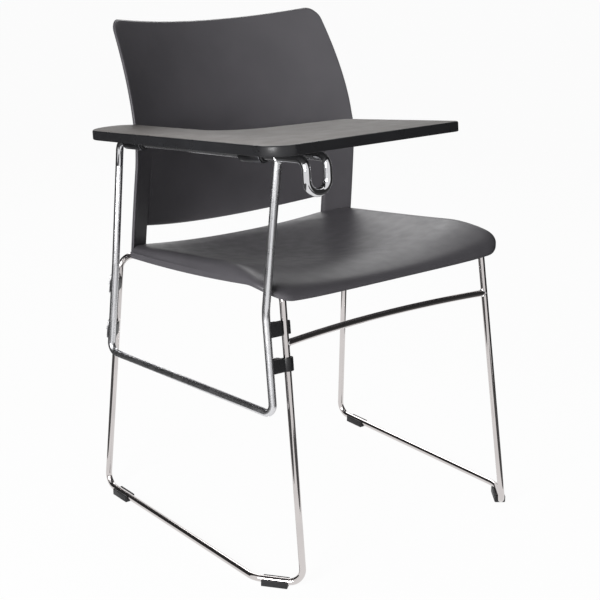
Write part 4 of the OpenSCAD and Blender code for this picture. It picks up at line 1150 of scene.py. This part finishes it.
# %% Bushes
bore, end, cut = ARM_R + BUSH_FIT, SADDLE_L / 2 + BUSH_PROUD, 0.7
for word, y in SADDLES:
    bm = bmesh.new()
    lathe(bm, [(bore, -end + cut), (bore + cut, -end), (BUSH_R - cut, -end), (BUSH_R, -end + cut),
               (BUSH_R, end - cut), (BUSH_R - cut, end), (bore + cut, end), (bore, end - cut),
               (bore, -end + cut)], 40)
    place = TABLET_PLANE @ Matrix.Translation((0, y, 0)) @ Matrix.Rotation(math.pi / 2, 4, "X")
    bmesh.ops.transform(bm, matrix=place, verts=bm.verts)
    piece(f"{word}_pin_bush", bm, BLACK, "tablet", [f"{word}_hinge_bush"])

# %% [markdown]
# Four screws through the flanges of each saddle hold it to the board.

# %% Hinge screws
SCREW_X, SCREW_IN, BOARD_BITE = FLANGE_X - FLANGE_W / 2, 10, 12
HINGE_SCREW_R, HINGE_HEAD_R, HINGE_HEAD_H = 2, 4, 2.2
bm = bmesh.new()
for word, y in SADDLES:
    for dy in (-1, 1):
        for dx in (-1, 1):
            seat = Vector((dx * SCREW_X, y + dy * (SADDLE_L / 2 - SCREW_IN), BOARD_LOW - SADDLE_T))
            place = TABLET_PLANE @ Matrix.Translation(seat) @ Matrix.Rotation(math.pi, 4, "X")
            screw(bm, place, HINGE_SCREW_R, SADDLE_T + BOARD_BITE, HINGE_HEAD_R, HINGE_HEAD_H)
piece("saddle_bolts", bm, ZINC, "tablet", ["hinge_screws"])

# %% [markdown]
# A rubber pad under the tablet meets the rest rod, so that the tablet comes down quietly. It is a bar
# with rounded edges.

# %% Rest pad
PAD_W, PAD_GAP, PAD_MARGIN, PAD_CORNER, PAD_BREAK = 14, 0.3, 6, 3, 0.8
pad_front, pad_rear = PIVOT_BEND_R - HOOK_Y + PAD_MARGIN, REST_END_Y - CAP_L - PAD_MARGIN
size = Vector((PAD_W, pad_rear - pad_front, BOARD_OFF - PAD_GAP))
bm = bmesh.new()
bmesh.ops.create_cube(bm, size=1, matrix=Matrix.Diagonal((*size, 1)))
soften(bm, [e for e in bm.edges if abs(e.verts[0].co.z - e.verts[1].co.z) > 1], PAD_CORNER, 4)
soften(bm, [e for e in bm.edges if all(v.co.z < 0 for v in e.verts)], PAD_BREAK, 2)
middle = Vector((HOOK_W, (pad_front + pad_rear) / 2, BOARD_LOW - size.z / 2))
bmesh.ops.transform(bm, matrix=TABLET_PLANE @ Matrix.Translation(middle), verts=bm.verts)
piece("rest_bumper_pad", bm, RUBBER, "tablet", ["tablet_rest_pad"])

# %% [markdown]
# ## CAD nodes that stay
# The rods inside the sleeves, the welded tabs and the tablet's board are already right as CAD solids and
# hardly show, so they only get their finish.

# %% Kept nodes
KEPT = {"right_back_upright": FRAME_CHROME, "left_back_upright": FRAME_CHROME, "seat_tabs": FRAME_CHROME,
        "clip_tabs": ZINC, "tablet_core": BOARD}
for name, material in KEPT.items():
    slots = bpy.data.objects[name].data.materials
    slots.clear()
    slots.append(material)
    print("kept", name)

# %% [markdown]
# ## Lights, floor and camera
# The chair stands on plain white, so camera and mirror rays see a white world. For all other rays the
# world is a dim grey, and lamps do most of the lighting.

# %% World
AMBIENT_TINT, AMBIENT = (0.9, 0.92, 0.95, 1), 0.12
scene = bpy.context.scene
scene.view_settings.view_transform = "Standard"
world = bpy.data.worlds.new("studio")
scene.world = world
world.use_nodes = True
tree = world.node_tree
ambient = tree.nodes["Background"]
ambient.inputs["Color"].default_value = AMBIENT_TINT
ambient.inputs["Strength"].default_value = AMBIENT
white = tree.nodes.new("ShaderNodeBackground")
white.inputs["Color"].default_value = (1, 1, 1, 1)


def seen_directly(tree):
    """1 for camera, mirror and glass rays."""
    rays = tree.nodes.new("ShaderNodeLightPath")
    first = tree.nodes.new("ShaderNodeMath")
    first.operation = "MAXIMUM"
    second = tree.nodes.new("ShaderNodeMath")
    second.operation = "MAXIMUM"
    tree.links.new(rays.outputs["Is Camera Ray"], first.inputs[0])
    tree.links.new(rays.outputs["Is Glossy Ray"], first.inputs[1])
    tree.links.new(first.outputs[0], second.inputs[0])
    tree.links.new(rays.outputs["Is Transmission Ray"], second.inputs[1])
    return second.outputs[0]


choose = tree.nodes.new("ShaderNodeMixShader")
tree.links.new(seen_directly(tree), choose.inputs["Fac"])
tree.links.new(ambient.outputs[0], choose.inputs[1])
tree.links.new(white.outputs[0], choose.inputs[2])
tree.links.new(choose.outputs[0], tree.nodes["World Output"].inputs["Surface"])
print("world strength for soft light:", AMBIENT)

# %% [markdown]
# The floor is a wide white disc just under the glides. To the camera it nearly glows, so only a trace of
# the chair's shadow is left on it. To the lamps' light it is plain paper that brightens the chair from
# below.

# %% Floor
FLOOR_R, FLOOR_DROP, FLOOR_GLOW = 40000, 0.3, 0.96
bm = bmesh.new()
bmesh.ops.create_circle(bm, cap_ends=True, segments=96, radius=FLOOR_R)
bmesh.ops.translate(bm, verts=bm.verts, vec=(0, 0, -FLOOR_DROP))
bmesh.ops.transform(bm, matrix=TO_ROW, verts=bm.verts)
floor_mesh = bpy.data.meshes.new("floor")
bm.to_mesh(floor_mesh)
bm.free()
floor = bpy.data.objects.new("floor", floor_mesh)
scene.collection.objects.link(floor)
paper = bpy.data.materials.new("white_paper")
paper.use_nodes = True
tree = paper.node_tree
tree.nodes["Principled BSDF"].inputs["Base Color"].default_value = (0.9, 0.9, 0.9, 1)
tree.nodes["Principled BSDF"].inputs["Roughness"].default_value = 0.9
glow = tree.nodes.new("ShaderNodeEmission")
share = tree.nodes.new("ShaderNodeMath")
share.operation = "MULTIPLY"
share.inputs[1].default_value = FLOOR_GLOW
blend = tree.nodes.new("ShaderNodeMixShader")
tree.links.new(seen_directly(tree), share.inputs[0])
tree.links.new(share.outputs[0], blend.inputs["Fac"])
tree.links.new(tree.nodes["Principled BSDF"].outputs[0], blend.inputs[1])
tree.links.new(glow.outputs[0], blend.inputs[2])
tree.links.new(blend.outputs[0], tree.nodes["Material Output"].inputs["Surface"])
floor_mesh.materials.append(paper)
print("floor radius:", FLOOR_R / 1000, "m")

# %% [markdown]
# Three soft panels: a weak one overhead, the key from the camera's left, low enough to reach the front
# of the back, and one behind the chair on the right that catches the seat's far edge.

# %% Lamps
def panel(name, place, target, size, watts):
    lamp = bpy.data.lights.new(name, "AREA")
    lamp.shape = "RECTANGLE"
    lamp.size, lamp.size_y = size
    lamp.energy = watts
    obj = bpy.data.objects.new(name, lamp)
    scene.collection.objects.link(obj)
    obj.location = Vector(place)
    obj.rotation_euler = (Vector(target) - Vector(place)).to_track_quat("-Z", "Y").to_euler()
    print(name, "panel:", watts, "W")


panel("overhead", (0.3, -0.5, 2.6), (0, 0, 0.4), (1.4, 1.4), 7)
panel("key", (-2.65, -1.15, 1.25), (0, 0, 0.55), (1.2, 1.3), 106)
panel("rear", (1.17, 1.77, 2.05), (0.15, 0, 0.45), (1.0, 1.0), 15)

# %% [markdown]
# Chrome shows only what it mirrors. In an all-white room its edges would melt into the background, so
# black cards stand on both sides of the chair and hang above it, and dark grey ones lie beside it on the
# floor, as a photographer places them. Only mirror rays see them: the camera, the light and the shadows
# pass through.

# %% Cards
EYE, TARGET = Vector((-1330.4, -1682.2, 1020.6)), Vector((0, 0, 356.35))
sight = ((TARGET - EYE) * Vector((1, 1, 0))).normalized()
leftward = UP.cross(sight)
CARD_ASIDE, CARD_HIGH, PAPER_HALF = 1600, 3600, 500
CEILING_L, FLOOR_CARD_AHEAD, FLOOR_CARD_L = 4400, 600, 6000


def card_paper(name, glow):
    """Dull paper with a set brightness of its own, whatever the lamps do."""
    paper = bpy.data.materials.new(name)
    paper.use_nodes = True
    shader = paper.node_tree.nodes["Principled BSDF"]
    shader.inputs["Base Color"].default_value = (0, 0, 0, 1)
    shader.inputs["Specular IOR Level"].default_value = 0
    shader.inputs["Emission Color"].default_value = (1, 1, 1, 1)
    shader.inputs["Emission Strength"].default_value = glow
    return paper


SOOT, ASH = card_paper("black_card", 0.035), card_paper("grey_card", 0.09)


def mirror_only(name, bm, paper):
    """A card that only mirror rays see."""
    bmesh.ops.transform(bm, matrix=TO_ROW, verts=bm.verts)
    mesh = bpy.data.meshes.new(name)
    bm.to_mesh(mesh)
    bm.free()
    mesh.materials.append(paper)
    paper_sheet = bpy.data.objects.new(name, mesh)
    scene.collection.objects.link(paper_sheet)
    paper_sheet.visible_camera = paper_sheet.visible_diffuse = False
    paper_sheet.visible_transmission = paper_sheet.visible_shadow = False
    print(name, "placed")


def card(name, middle, width, height, paper=SOOT):
    bm = bmesh.new()
    bmesh.ops.create_grid(bm, x_segments=1, y_segments=1, size=0.5)
    place = axes(width, height, width.cross(height).normalized(), middle)
    bmesh.ops.transform(bm, matrix=place, verts=bm.verts)
    mirror_only(name, bm, paper)


for name, way, ahead, length in (("left_card", 1, 2000, 5400), ("right_card", -1, 1200, 4800)):
    middle = leftward * way * CARD_ASIDE + sight * ahead + UP * CARD_HIGH / 2
    card(name, middle, sight * length, UP * CARD_HIGH)
card("ceiling_card", UP * CARD_HIGH, sight * CEILING_L, leftward * 2 * CARD_ASIDE)
for name, way in (("left_floor_card", 1), ("right_floor_card", -1)):
    middle = leftward * way * (PAPER_HALF + CARD_ASIDE) / 2 + sight * FLOOR_CARD_AHEAD
    card(name, middle, sight * FLOOR_CARD_L, leftward * (CARD_ASIDE - PAPER_HALF), ASH)

# %% [markdown]
# The camera looks from the sitter's right front, a little from above, from about 2.2 m. Its place and
# lens were found by matching the legs, the runners and the edges of the back.

# %% Camera
SENSOR, LENS = 36, 77.19
camera = bpy.data.cameras.new("camera")
camera.sensor_width = SENSOR
camera.lens = LENS
camera_object = bpy.data.objects.new("camera", camera)
scene.collection.objects.link(camera_object)
camera_object.location = TO_ROW @ EYE
camera_object.rotation_euler = (TARGET - EYE).to_track_quat("-Z", "Y").to_euler()
scene.camera = camera_object
print("camera distance:", round((TARGET - EYE).length), "mm")
